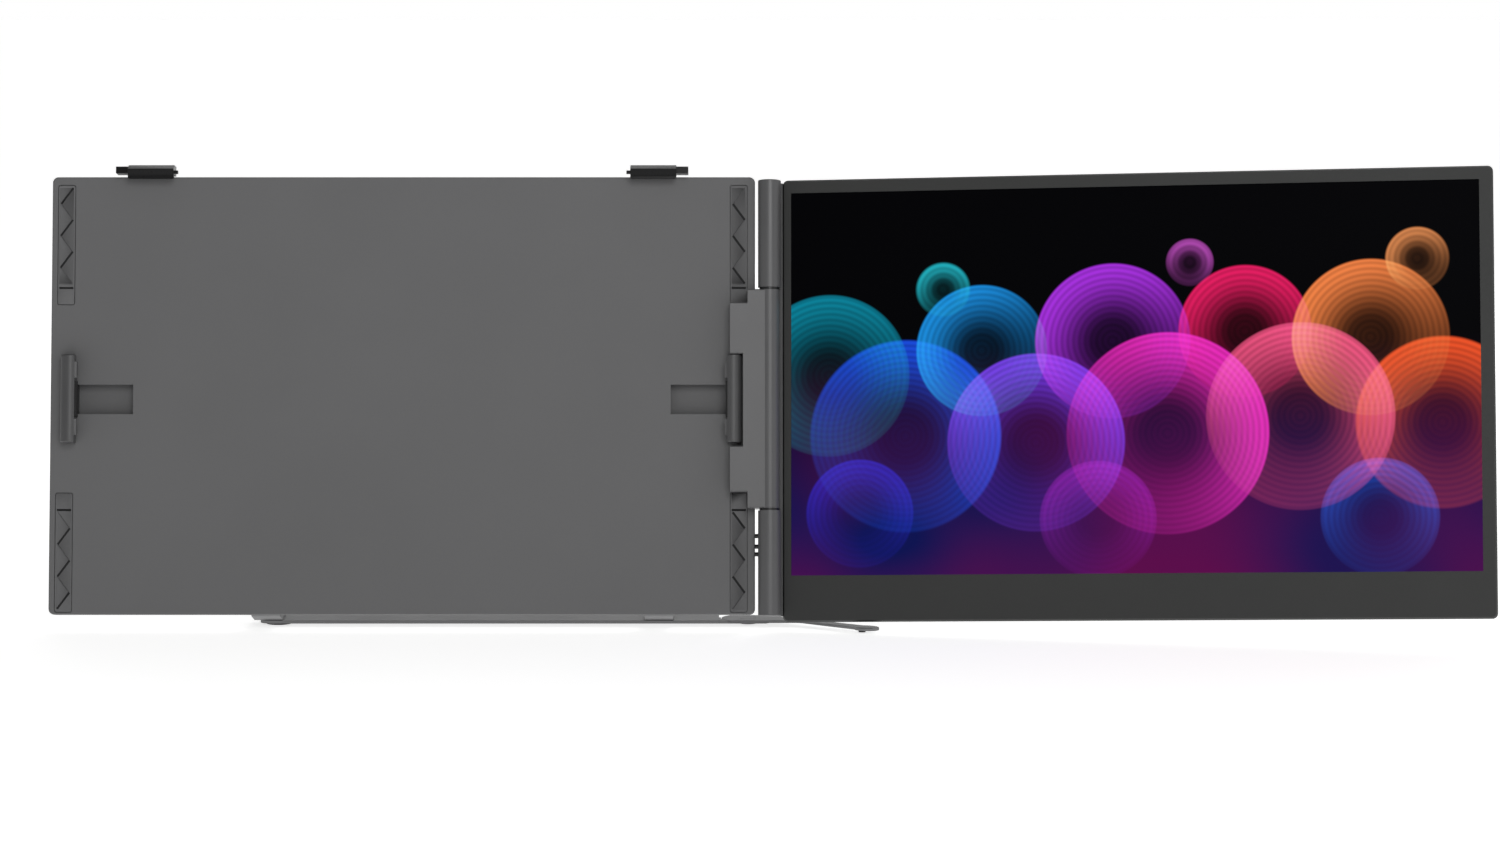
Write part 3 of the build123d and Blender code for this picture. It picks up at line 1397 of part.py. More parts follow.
with BuildPart() as hinge_bushes:
    for bottom in (bush_bottom, upper_barrel_bottom):
        with BuildSketch(monitor_section_at(bottom)):
            Circle(bush_radius)
            Circle(shaft_radius + running_gap, mode=Mode.SUBTRACT)
        extrude(amount=bush_length)
    # Flanges that fill the seams beside the centre knuckle
    for bottom in (lower_barrel_top, knuckle_top + 2 * running_gap):
        with BuildSketch(monitor_section_at(bottom)):
            Circle(knuckle_radius)
            Circle(shaft_radius + running_gap, mode=Mode.SUBTRACT)
        extrude(amount=knuckle_seam - 2 * running_gap)

hinge_bushes.part.label = "hinge_bushes"
export_step(hinge_bushes.part, "parts/hinge_bushes.step")

with BuildPart() as barrel_caps:
    with BuildSketch(monitor_section_at(barrel_top - cap_thickness)):
        Circle(barrel_radius)
    extrude(amount=cap_thickness)
    with BuildSketch(monitor_section_at(barrel_bottom)):
        Circle(barrel_radius)
    extrude(amount=cap_thickness)
    cap_faces = barrel_caps.faces().sort_by(Axis(axis_foot, up))
    fillet(cap_faces[-1].edges() + cap_faces[0].edges(), cap_edge)

barrel_caps.part.label = "barrel_caps"
export_step(barrel_caps.part, "parts/barrel_caps.step")


# Boards, sockets, speakers and ribbon inside the monitor
board_right = monitor_right - cover_wall - socket_depth
board_mid_x = board_right - board_width / 2
board_low = monitor_bottom + cover_bottom_wall + speaker_height + board_above_speaker
board_front = tray_back + board_rise

with BuildPart() as main_board:
    with BuildSketch(monitor_at(board_front)):
        with Locations((board_mid_x, board_low + board_height / 2)):
            Rectangle(board_width, board_height)
    extrude(amount=-board_thickness)
    with BuildSketch(monitor_at(board_front)):
        with Locations((board_mid_x - board_width / 6, board_low + board_height / 2)):
            Rectangle(chip_size, chip_size)
        with Locations((board_mid_x + board_width / 5, board_low + board_height * 0.8)):
            Rectangle(small_chip, small_chip)
    extrude(amount=-board_thickness - chip_height)

main_board.part.label = "main_board"
export_step(main_board.part, "parts/main_board.step")

with BuildPart() as port_sockets:
    for height, width in socket_places:
        with BuildSketch(right_wall_plane.offset(-cover_wall)):
            with Locations((height, -socket_mid_depth)):
                SlotOverall(width, usb_height)
        extrude(amount=-socket_depth)
        with BuildSketch(right_wall_plane.offset(-cover_wall)):
            with Locations((height, -socket_mid_depth)):
                SlotOverall(width - 0.6, usb_height - 0.6)
                Rectangle(width - 3.2, 0.7, mode=Mode.SUBTRACT)
        extrude(amount=-socket_depth + 1.0, mode=Mode.SUBTRACT)

port_sockets.part.label = "port_sockets"
export_step(port_sockets.part, "parts/port_sockets.step")

with BuildPart() as speakers:
    with BuildSketch(monitor_at(cover_inside)):
        with Locations(*[(mid, speaker_mid_up) for mid in speaker_mids]):
            Rectangle(speaker_length, speaker_height)
    extrude(amount=speaker_thickness)

speakers.part.label = "speakers"
export_step(speakers.part, "parts/speakers.step")

with BuildPart() as display_cable:
    with BuildSketch(monitor_at(tray_back + slide_gap)):
        with Locations((board_mid_x, board_low + ribbon_length / 2)):
            Rectangle(ribbon_width, ribbon_length)
    extrude(amount=-ribbon_thickness)

display_cable.part.label = "display_cable"
export_step(display_cable.part, "parts/display_cable.step")


# Buttons, their switches and board in the lower barrel


def make_button(height):
    with BuildPart() as button:
        with BuildSketch(Plane(origin=axis_foot + up * height - monitor_along * button_back,
                               x_dir=up, z_dir=-monitor_along)):
            Circle(button_radius)
        extrude(amount=barrel_radius + button_stand_out - button_back)
        fillet(button.faces().sort_by(Axis(axis_foot, -monitor_along))[-1].edges(), button_round)
        with BuildSketch(Plane(origin=axis_foot + up * height - monitor_along * button_back,
                               x_dir=up, z_dir=-monitor_along)):
            Circle(button_flange)
        extrude(amount=button_flange_thickness)
    return button.part


with BuildPart() as button_power:
    add(make_button(button_heights["power"]))

button_power.part.label = "button_power"
export_step(button_power.part, "parts/button_power.step")

with BuildPart() as button_plus:
    add(make_button(button_heights["plus"]))

button_plus.part.label = "button_plus"
export_step(button_plus.part, "parts/button_plus.step")

with BuildPart() as button_minus:
    add(make_button(button_heights["minus"]))

button_minus.part.label = "button_minus"
export_step(button_minus.part, "parts/button_minus.step")

with BuildPart() as key_switches:
    for height in button_heights.values():
        with BuildSketch(Plane(origin=axis_foot + up * height - monitor_along * switch_front,
                               x_dir=up, z_dir=monitor_along)):
            Rectangle(switch_size, switch_size)
        extrude(amount=switch_front - board_face)

key_switches.part.label = "key_switches"
export_step(key_switches.part, "parts/key_switches.step")

with BuildPart() as button_board:
    with BuildSketch(Plane(origin=axis_foot + up * board_mid_up - monitor_along * board_face,
                           x_dir=up, z_dir=monitor_along)):
        Rectangle(board_span, button_board_width)
    extrude(amount=button_board_thickness)

button_board.part.label = "button_board"
export_step(button_board.part, "parts/button_board.step")
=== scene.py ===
import json
import math

import bpy
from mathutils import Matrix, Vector


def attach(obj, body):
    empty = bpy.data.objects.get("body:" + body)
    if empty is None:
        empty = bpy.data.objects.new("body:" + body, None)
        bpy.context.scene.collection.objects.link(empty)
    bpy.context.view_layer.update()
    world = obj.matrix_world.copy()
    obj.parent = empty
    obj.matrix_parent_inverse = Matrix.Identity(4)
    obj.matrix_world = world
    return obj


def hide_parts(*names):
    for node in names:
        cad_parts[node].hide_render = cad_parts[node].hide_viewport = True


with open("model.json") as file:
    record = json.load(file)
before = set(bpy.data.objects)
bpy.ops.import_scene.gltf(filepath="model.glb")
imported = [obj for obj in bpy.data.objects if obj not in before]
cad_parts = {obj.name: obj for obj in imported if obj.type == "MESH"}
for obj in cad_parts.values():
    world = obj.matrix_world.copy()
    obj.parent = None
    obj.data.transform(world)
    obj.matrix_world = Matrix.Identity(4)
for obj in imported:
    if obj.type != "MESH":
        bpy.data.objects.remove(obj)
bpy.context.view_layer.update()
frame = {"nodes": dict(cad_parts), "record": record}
bpy.ops.object.select_all(action="DESELECT")
print("frame loaded")

# Depth in metres of the relief that a bump of strength 1 stands for
reliefDepth = 0.0001

# How the object stands, in metres and degrees: the bracket leans back and the monitor is turned in
stance = {
    "axisFoot": (0.012, -0.037, 0.0063),
    "lean": 9.66,
    "swing": 9.93,
}
lean = math.radians(stance["lean"])
swing = math.radians(stance["swing"])
axisFoot = Vector(stance["axisFoot"])
rightWay = Vector((1, 0, 0))
upWay = Vector((0, math.sin(lean), math.cos(lean)))
outWay = Vector((0, -math.cos(lean), math.sin(lean)))
monitorWay = rightWay * math.cos(swing) + outWay * math.sin(swing)
monitorOut = outWay * math.cos(swing) - rightWay * math.sin(swing)


def toLinear(hexColour):
    # sRGB hex to the linear colour that the shader wants
    channels = []
    for start in (0, 2, 4):
        value = int(hexColour[start:start + 2], 16) / 255
        channels.append(value / 12.92 if value <= 0.04045 else ((value + 0.055) / 1.055) ** 2.4)
    return (*channels, 1.0)


def addNode(tree, kind, settings=None, links=None):
    # Adds one node: settings go to its inputs or its own properties, links join its inputs to outputs
    node = tree.nodes.new(kind)
    for name, value in (settings or {}).items():
        if isinstance(name, int) or name in node.inputs:
            node.inputs[name].default_value = value
        else:
            setattr(node, name, value)
    for name, output in (links or {}).items():
        tree.links.new(output, node.inputs[name])
    return node


def startMaterial(name):
    material = bpy.data.materials.new(name)
    material.use_nodes = True
    tree = material.node_tree
    tree.nodes.clear()
    place = addNode(tree, "ShaderNodeTexCoord").outputs["Object"]
    return material, tree, place


def finishMaterial(tree, shader):
    addNode(tree, "ShaderNodeOutputMaterial", links={"Surface": shader.outputs[0]})


def makeMouldedPlastic(look):
    # Injection-moulded plastic, such as ABS or nylon: a soft matte sheen over the mould's fine even grit.
    # The real grit is too fine to show, so gritMm is coarser than life
    material, tree, place = startMaterial(look["name"])
    grit = addNode(tree, "ShaderNodeTexNoise", {"Scale": 1000 / look["gritMm"], "Detail": 3.0,
                                                "Roughness": 0.6}, {"Vector": place})
    cloud = addNode(tree, "ShaderNodeTexNoise", {"Scale": 1000 / look["cloudMm"], "Detail": 2.0},
                    {"Vector": place})
    tint = addNode(tree, "ShaderNodeMix", {"data_type": "RGBA", 6: toLinear(look["dark"]),
                                           7: toLinear(look["light"])},
                   {0: cloud.outputs["Fac"]})
    sheen = addNode(tree, "ShaderNodeMapRange", {"From Min": 0.3, "From Max": 0.7,
                                                 "To Min": look["roughness"] - 0.05,
                                                 "To Max": look["roughness"] + 0.05},
                    {"Value": grit.outputs["Fac"]})
    bump = addNode(tree, "ShaderNodeBump", {"Strength": look["bump"], "Distance": reliefDepth},
                   {"Height": grit.outputs["Fac"]})
    shader = addNode(tree, "ShaderNodeBsdfPrincipled",
                     {"IOR": 1.54, "Specular IOR Level": look.get("specular", 0.5)},
                     {"Base Color": tint.outputs[2], "Roughness": sheen.outputs[0],
                      "Normal": bump.outputs[0]})
    finishMaterial(tree, shader)
    return material


def makeCoatedMetal(look):
    # Powder coat on metal: a fine orange peel and a satin gloss
    material, tree, place = startMaterial(look["name"])
    peel = addNode(tree, "ShaderNodeTexNoise", {"Scale": 1000 / look["peelMm"], "Detail": 1.5},
                   {"Vector": place})
    cloud = addNode(tree, "ShaderNodeTexNoise", {"Scale": 1000 / look["cloudMm"], "Detail": 3.0},
                    {"Vector": place})
    tint = addNode(tree, "ShaderNodeMix", {"data_type": "RGBA", 6: toLinear(look["dark"]),
                                           7: toLinear(look["light"])},
                   {0: cloud.outputs["Fac"]})
    sheen = addNode(tree, "ShaderNodeMapRange", {"From Min": 0.3, "From Max": 0.7,
                                                 "To Min": look["roughness"] - 0.04,
                                                 "To Max": look["roughness"] + 0.04},
                    {"Value": cloud.outputs["Fac"]})
    bump = addNode(tree, "ShaderNodeBump", {"Strength": look["bump"], "Distance": reliefDepth},
                   {"Height": peel.outputs["Fac"]})
    shader = addNode(tree, "ShaderNodeBsdfPrincipled", {"IOR": 1.5, "Metallic": look["metallic"]},
                     {"Base Color": tint.outputs[2], "Roughness": sheen.outputs[0],
                      "Normal": bump.outputs[0]})
    finishMaterial(tree, shader)
    return material


def makeElastomer(look):
    # Moulded rubber: dull and a little dusty. The specks of dust are drawn coarser than life, to show
    material, tree, place = startMaterial(look["name"])
    dust = addNode(tree, "ShaderNodeTexNoise", {"Scale": 1000 / look["dustMm"], "Detail": 4.0,
                                                "Roughness": 0.7}, {"Vector": place})
    tint = addNode(tree, "ShaderNodeMix", {"data_type": "RGBA", 6: toLinear(look["dark"]),
                                           7: toLinear(look["light"])},
                   {0: dust.outputs["Fac"]})
    bump = addNode(tree, "ShaderNodeBump", {"Strength": 0.15, "Distance": reliefDepth},
                   {"Height": dust.outputs["Fac"]})
    shader = addNode(tree, "ShaderNodeBsdfPrincipled", {"IOR": 1.52, "Roughness": look["roughness"]},
                     {"Base Color": tint.outputs[2], "Normal": bump.outputs[0]})
    finishMaterial(tree, shader)
    return material


def makeBareMetal(look):
    # Turned or rolled metal, with fine marks along one way, drawn coarser than life so that they show
    material, tree, place = startMaterial(look["name"])
    stretch = addNode(tree, "ShaderNodeMapping", {"Scale": look["grainStretch"]}, {"Vector": place})
    grain = addNode(tree, "ShaderNodeTexNoise", {"Scale": 1000 / look["grainMm"], "Detail": 2.0},
                    {"Vector": stretch.outputs[0]})
    tint = addNode(tree, "ShaderNodeMix", {"data_type": "RGBA", 6: toLinear(look["dark"]),
                                           7: toLinear(look["light"])},
                   {0: grain.outputs["Fac"]})
    sheen = addNode(tree, "ShaderNodeMapRange", {"To Min": look["roughness"] - 0.06,
                                                 "To Max": look["roughness"] + 0.06},
                    {"Value": grain.outputs["Fac"]})
    shader = addNode(tree, "ShaderNodeBsdfPrincipled", {"Metallic": 1.0},
                     {"Base Color": tint.outputs[2], "Roughness": sheen.outputs[0]})
    finishMaterial(tree, shader)
    return material


def makeCircuitBoard(look):
    # Solder resist over copper: straight tracks show as a slightly lighter green. They are drawn wider
    # apart than real ones, so that they show
    material, tree, place = startMaterial(look["name"])
    resist = toLinear(look["dark"])
    tracks = addNode(tree, "ShaderNodeTexBrick", {"Scale": 1000 / look["trackMm"], "Mortar Size": 0.04,
                                                  "Color1": resist, "Color2": resist,
                                                  "Mortar": toLinear(look["light"])}, {"Vector": place})
    shader = addNode(tree, "ShaderNodeBsdfPrincipled", {"Roughness": 0.35, "IOR": 1.5},
                     {"Base Color": tracks.outputs["Color"]})
    finishMaterial(tree, shader)
    return material


def makeDisplay(look):
    # Lit liquid crystal panel under a fine matt film: its picture is a cluster of clear round bubbles
    material, tree, place = startMaterial(look["name"])
    across = addNode(tree, "ShaderNodeVectorMath", {"operation": "DOT_PRODUCT", 1: monitorWay}, {0: place})
    upright = addNode(tree, "ShaderNodeVectorMath", {"operation": "DOT_PRODUCT", 1: upWay}, {0: place})
    left = axisFoot.dot(monitorWay) + look["left"]
    low = axisFoot.dot(upWay) + look["low"]
    acrossPart = addNode(tree, "ShaderNodeMapRange", {"clamp": False, "From Min": left,
                                                      "From Max": left + look["width"],
                                                      "To Max": look["aspect"]},
                         {"Value": across.outputs["Value"]})
    upPart = addNode(tree, "ShaderNodeMapRange", {"clamp": False, "From Min": low,
                                                  "From Max": low + look["height"]},
                     {"Value": upright.outputs["Value"]})
    spot = addNode(tree, "ShaderNodeCombineXYZ", links={"X": acrossPart.outputs[0], "Y": upPart.outputs[0]})
    # Black night above, a dim glow of colour below
    night = addNode(tree, "ShaderNodeMapRange", {"interpolation_type": "SMOOTHSTEP",
                                                 "From Min": look["nightFrom"],
                                                 "From Max": look["nightTo"],
                                                 "To Min": 1.0, "To Max": 0.0},
                    {"Value": upPart.outputs[0]})
    cloud = addNode(tree, "ShaderNodeTexNoise", {"Scale": 1.6, "Detail": 1.0}, {"Vector": spot.outputs[0]})
    side = addNode(tree, "ShaderNodeMapRange", {"From Min": look["coolTo"], "From Max": look["warmFrom"]},
                   {"Value": cloud.outputs["Fac"]})
    ground = addNode(tree, "ShaderNodeMix", {"data_type": "RGBA", 6: toLinear(look["groundCool"]),
                                             7: toLinear(look["groundWarm"])}, {0: side.outputs[0]})
    picture = addNode(tree, "ShaderNodeMix", {"data_type": "RGBA", 6: toLinear("010102")},
                      {0: night.outputs[0], 7: ground.outputs[2]})
    for x, y, radius, colour, strength, lit in look["bubbles"]:
        fromMiddle = addNode(tree, "ShaderNodeVectorMath", {"operation": "SUBTRACT", 1: (x, y, 0)},
                             {0: spot.outputs[0]})
        reach = addNode(tree, "ShaderNodeVectorMath", {"operation": "LENGTH"}, {0: fromMiddle.outputs[0]})
        body = addNode(tree, "ShaderNodeMapRange", {"interpolation_type": "SMOOTHSTEP",
                                                    "From Min": radius * look["hollowShare"],
                                                    "From Max": radius, "To Min": look["hollowLight"],
                                                    "To Max": 1.0},
                       {"Value": reach.outputs["Value"]})
        edge = addNode(tree, "ShaderNodeMapRange", {"interpolation_type": "SMOOTHSTEP",
                                                    "From Min": radius - look["edgeHalf"],
                                                    "From Max": radius + look["edgeHalf"],
                                                    "To Min": strength, "To Max": 0.0},
                       {"Value": reach.outputs["Value"]})
        litWay = (math.cos(math.radians(lit)) / radius, math.sin(math.radians(lit)) / radius, 0)
        toLight = addNode(tree, "ShaderNodeVectorMath", {"operation": "DOT_PRODUCT", 1: litWay},
                          {0: fromMiddle.outputs[0]})
        crescent = addNode(tree, "ShaderNodeMapRange", {"interpolation_type": "SMOOTHSTEP",
                                                        "From Min": -look["crescentReach"],
                                                        "From Max": look["crescentReach"],
                                                        "To Min": look["crescentLow"], "To Max": 1.0},
                           {"Value": toLight.outputs["Value"]})
        rings = addNode(tree, "ShaderNodeMath", {"operation": "SINE"},
                        {0: addNode(tree, "ShaderNodeMath", {"operation": "MULTIPLY", 1: look["ringRate"]},
                                    {0: reach.outputs["Value"]}).outputs[0]})
        fine = addNode(tree, "ShaderNodeMapRange", {"From Min": -1.0, "To Min": look["ringLow"],
                                                    "To Max": 1.0},
                       {"Value": rings.outputs[0]})
        cover = addNode(tree, "ShaderNodeMath", {"operation": "MULTIPLY"}, {0: body.outputs[0],
                                                                           1: edge.outputs[0]})
        lighted = addNode(tree, "ShaderNodeMath", {"operation": "MULTIPLY"}, {0: cover.outputs[0],
                                                                             1: crescent.outputs[0]})
        ringed = addNode(tree, "ShaderNodeMath", {"operation": "MULTIPLY"}, {0: lighted.outputs[0],
                                                                            1: fine.outputs[0]})
        picture = addNode(tree, "ShaderNodeMix", {"data_type": "RGBA", "blend_type": "SCREEN",
                                                  7: toLinear(colour)},
                          {0: ringed.outputs[0], 6: picture.outputs[2]})
    shader = addNode(tree, "ShaderNodeBsdfPrincipled", {"Base Color": toLinear("020203"), "Roughness": 0.4,
                                                        "IOR": 1.5, "Specular IOR Level": 0.02,
                                                        "Emission Strength": look["glow"]},
                     {"Emission Color": picture.outputs[2]})
    finishMaterial(tree, shader)
    return material


plastics = {
    "shellGrey": {"name": "sparkErodedGreyAbs", "dark": "5b5b5c", "light": "606061", "gritMm": 1.2,
                  "cloudMm": 60, "roughness": 0.55, "bump": 0.10},
    "coverGrey": {"name": "sparkErodedDarkAbs", "dark": "3e3e40", "light": "444446", "gritMm": 1.2,
                  "cloudMm": 50, "roughness": 0.55, "bump": 0.10},
    "bezelBlack": {"name": "texturedBlackAbs", "dark": "242524", "light": "292a29", "gritMm": 1.0,
                   "cloudMm": 40, "roughness": 0.5, "bump": 0.12, "specular": 0.4},
    "jawGrey": {"name": "satinGreyNylon", "dark": "444445", "light": "4a4a4b", "gritMm": 0.8, "cloudMm": 20,
                "roughness": 0.4, "bump": 0.08},
    "hookBlack": {"name": "satinBlackNylon", "dark": "0d0d0e", "light": "121213", "gritMm": 0.8,
                  "cloudMm": 20, "roughness": 0.3, "bump": 0.05, "specular": 0.15},
    "buttonBlack": {"name": "polishedBlackAbs", "dark": "0b0b0c", "light": "101011", "gritMm": 0.8,
                    "cloudMm": 6, "roughness": 0.22, "bump": 0.02},
    "gearWhite": {"name": "naturalAcetal", "dark": "cfcec6", "light": "dcdbd4", "gritMm": 0.8, "cloudMm": 12,
                  "roughness": 0.4, "bump": 0.04},
    "bushBlack": {"name": "blackAcetal", "dark": "101011", "light": "151516", "gritMm": 0.8, "cloudMm": 8,
                  "roughness": 0.35, "bump": 0.03},
    "switchBlack": {"name": "blackNylon", "dark": "161617", "light": "1c1c1d", "gritMm": 0.8, "cloudMm": 8,
                    "roughness": 0.45, "bump": 0.05},
    "diffuserWhite": {"name": "milkyAcrylic", "dark": "e6e6e4", "light": "eeeeec", "gritMm": 1.0,
                      "cloudMm": 40, "roughness": 0.5, "bump": 0.02},
    "ribbonOrange": {"name": "amberPolyimide", "dark": "a8601c", "light": "b86c22", "gritMm": 1.0,
                     "cloudMm": 8, "roughness": 0.3, "bump": 0.02},
}
metals = {
    "hingeGrey": {"name": "satinGreyPowderCoat", "dark": "5a5a5b", "light": "606061", "peelMm": 1.6,
                  "cloudMm": 35, "roughness": 0.38, "metallic": 0.2, "bump": 0.06},
    "baseGrey": {"name": "greyPowderCoatedSteel", "dark": "747475", "light": "7c7c7d", "peelMm": 1.8,
                 "cloudMm": 45, "roughness": 0.6, "metallic": 0.0, "bump": 0.08},
    "hingeBlack": {"name": "blackPowderCoatedSteel", "dark": "1c1c1d", "light": "242425", "peelMm": 1.6,
                   "cloudMm": 20, "roughness": 0.42, "metallic": 0.2, "bump": 0.08},
}
elastomers = {
    "gripGrey": {"name": "greyElastomer", "dark": "5c5c5d", "light": "636364", "dustMm": 2.0,
                 "roughness": 0.7},
    # painted shade: this darker rubber goes on the groove floors of the grip strips, in place of the shadow
    # there
    "paintedGrooveShade": {"name": "paintedGrooveShadeElastomer", "dark": "1c1c1d", "light": "2a2a2b", "dustMm": 1.2,
                   "roughness": 0.85},
    "padBlack": {"name": "blackSiliconeRubber", "dark": "121213", "light": "1a1a1b", "dustMm": 1.5,
                 "roughness": 0.68},
    "footBlack": {"name": "blackRubber", "dark": "101011", "light": "19191a", "dustMm": 1.5,
                  "roughness": 0.75},
}
bareMetals = {
    "screwSteel": {"name": "blackenedSteel", "dark": "3a3a3c", "light": "4a4a4c", "grainMm": 0.8,
                   "grainStretch": (1, 1, 6), "roughness": 0.4},
    "plainSteel": {"name": "turnedSteel", "dark": "9b9c9e", "light": "b4b5b7", "grainMm": 0.8,
                   "grainStretch": (1, 1, 10), "roughness": 0.3},
    "socketSteel": {"name": "tinnedSteel", "dark": "a8a9ab", "light": "bebfc1", "grainMm": 0.8,
                    "grainStretch": (6, 1, 1), "roughness": 0.28},
    "trayAluminium": {"name": "rolledAluminium", "dark": "b0b1b3", "light": "c4c5c7", "grainMm": 1.0,
                      "grainStretch": (8, 1, 1), "roughness": 0.36},
}
# The picture area is in metres from the foot of the hinge axis, and ringRate in radians per picture height.
# Each bubble has its x, y and radius in picture heights, its colour, its strength and the side that its
# light comes from, in degrees
display = {
    "name": "litDisplayPanel", "left": 0.0113, "low": 0.0255, "width": 0.3819, "height": 0.2148,
    "aspect": 1.778, "glow": 1.0, "groundCool": "0c1250", "groundWarm": "5a0a4a", "ringRate": 420.0,
    "hollowShare": 0.2, "hollowLight": 0.06, "edgeHalf": 0.004, "nightFrom": 0.08, "nightTo": 0.62,
    "coolTo": 0.36, "warmFrom": 0.64, "crescentReach": 0.9, "crescentLow": 0.15, "ringLow": 0.72,
    "bubbles": [
        (0.10, 0.52, 0.21, "0a8ea8", 0.8, 110), (0.30, 0.36, 0.25, "1a50e8", 0.85, 60),
        (0.50, 0.58, 0.17, "1e9cf4", 0.8, 140), (0.64, 0.34, 0.23, "7a3cf0", 0.9, 80),
        (0.84, 0.60, 0.20, "b436f0", 0.85, 120), (0.98, 0.36, 0.26, "f02cc0", 0.9, 50),
        (1.18, 0.62, 0.17, "f8206a", 0.85, 100), (1.32, 0.40, 0.24, "ff5a8a", 0.85, 70),
        (1.50, 0.60, 0.20, "ff8a4a", 0.9, 130), (1.68, 0.38, 0.22, "ff5a2a", 0.85, 95),
        (0.40, 0.74, 0.07, "28c8d8", 0.7, 100), (1.04, 0.80, 0.06, "e060e0", 0.6, 80),
        (1.62, 0.80, 0.08, "ffa060", 0.7, 120), (0.18, 0.16, 0.14, "2c2ce0", 0.5, 90),
        (0.80, 0.14, 0.15, "a020c0", 0.45, 90), (1.52, 0.14, 0.15, "1c60e8", 0.5, 90),
    ],
}
board = {"name": "greenSolderResist", "dark": "0f4a26", "light": "1d6a3a", "trackMm": 6.0}

materials = {}
for name, look in plastics.items():
    materials[name] = makeMouldedPlastic(look)
for name, look in metals.items():
    materials[name] = makeCoatedMetal(look)
for name, look in elastomers.items():
    materials[name] = makeElastomer(look)
for name, look in bareMetals.items():
    materials[name] = makeBareMetal(look)
materials["display"] = makeDisplay(display)
materials["boardGreen"] = makeCircuitBoard(board)

# Which finish each CAD piece has
finishes = {
    "shellGrey": ["bracket_front_shell", "bracket_rear_cover"],
    "coverGrey": ["rear_cover"],
    "bezelBlack": ["front_bezel"],
    "hingeGrey": ["hinge_arm", "spine_upper", "spine_lower", "knuckle_cover", "barrel_caps"],
    "gripGrey": ["grip_strip_upper_left", "grip_strip_upper_right", "grip_strip_lower_left",
                 "grip_strip_lower_right"],
    "jawGrey": ["jaw_left", "jaw_right"],
    "hookBlack": ["hook_left", "hook_right"],
    "padBlack": ["jaw_pad_left", "jaw_pad_right", "hook_pad_left", "hook_pad_right"],
    "gearWhite": ["pinion"],
    "bushBlack": ["hinge_bushes", "rack_left", "rack_right", "rack_guides", "hook_guides"],
    "plainSteel": ["backing_plates", "hinge_shaft", "friction_washers", "hinge_nut", "pinion_post",
                   "pinion_spring"],
    "screwSteel": ["bracket_screws", "arm_screws", "jaw_screws_left", "jaw_screws_right", "rear_screws"],
    "hingeBlack": ["base_hinge_blocks", "base_hinge_pins"],
    "baseGrey": ["base_plate", "base_hinge_arms", "swing_leg", "base_rivets", "leg_rivet"],
    "footBlack": ["base_feet", "pivot_foot", "leg_foot"],
    "display": ["lcd_panel"],
    "diffuserWhite": ["backlight_unit"],
    "trayAluminium": ["backlight_tray"],
    "boardGreen": ["main_board", "button_board"],
    "socketSteel": ["port_sockets"],
    "switchBlack": ["key_switches", "speakers"],
    "ribbonOrange": ["display_cable"],
    "buttonBlack": ["button_power", "button_plus", "button_minus"],
}
for finish, names in finishes.items():
    for name in names:
        piece = frame["nodes"][name]
        piece.data.materials.clear()
        piece.data.materials.append(materials[finish])
print("finishes set on the CAD pieces")

# Moulded and pressed pieces get the small rounded edges that catch the light. Angles are in degrees: faces
# that differ by less than "flatTo" are one, and an edge over "roundFrom" is rounded
meshing = {"mergeMetres": 0.000005, "flatTo": 0.3, "roundFrom": 40, "smoothTo": 38, "segments": 2,
           "flatWeight": 95}
# Each piece: its name, the radius in millimetres, the finish and the slot
softEdges = {
    "hinge_arm": ("hingeArm", 0.5, "hingeGrey", "hinge_grey"),
    "base_plate": ("basePlate", 0.4, "baseGrey", "base_steel"),
    "swing_leg": ("swingLeg", 0.35, "baseGrey", "base_steel"),
    "jaw_left": ("jawLeft", 0.3, "jawGrey", "jaw_grey"),
    "jaw_right": ("jawRight", 0.3, "jawGrey", "jaw_grey"),
    "hook_left": ("hookLeft", 0.4, "hookBlack", "jaw_black"),
    "hook_right": ("hookRight", 0.4, "hookBlack", "jaw_black"),
    "base_hinge_arms": ("baseHingeArms", 0.3, "baseGrey", "base_steel"),
    "bracket_rear_cover": ("bracketRearCover", 0.25, "shellGrey", "shell_grey"),
}
for node, (name, widthMm, finish, slot) in softEdges.items():
    piece = bpy.data.objects.new(name, frame["nodes"][node].data.copy())
    bpy.context.scene.collection.objects.link(piece)
    bpy.ops.object.select_all(action="DESELECT")
    piece.select_set(True)
    bpy.context.view_layer.objects.active = piece
    bpy.ops.object.mode_set(mode="EDIT")
    bpy.ops.mesh.select_all(action="SELECT")
    bpy.ops.mesh.remove_doubles(threshold=meshing["mergeMetres"])
    bpy.ops.mesh.dissolve_limited(angle_limit=math.radians(meshing["flatTo"]))
    bpy.ops.object.mode_set(mode="OBJECT")
    rounding = piece.modifiers.new("edgeRadius", "BEVEL")
    rounding.width = widthMm / 1000
    rounding.segments = meshing["segments"]
    rounding.limit_method = "ANGLE"
    rounding.angle_limit = math.radians(meshing["roundFrom"])
    bpy.ops.object.modifier_apply(modifier="edgeRadius")
    bpy.ops.object.shade_smooth_by_angle(angle=math.radians(meshing["smoothTo"]))
    flatFaces = piece.modifiers.new("flatFaces", "WEIGHTED_NORMAL")
    flatFaces.weight = meshing["flatWeight"]
    flatFaces.keep_sharp = True
    bpy.ops.object.modifier_apply(modifier="flatFaces")
    piece.data.materials.clear()
    piece.data.materials.append(materials[finish])
    body = next(body for body, nodes in frame["record"]["behaviour"]["bodies"].items() if node in nodes)
    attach(piece, body)
    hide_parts(node)
print("edges softened on", len(softEdges), "pieces")
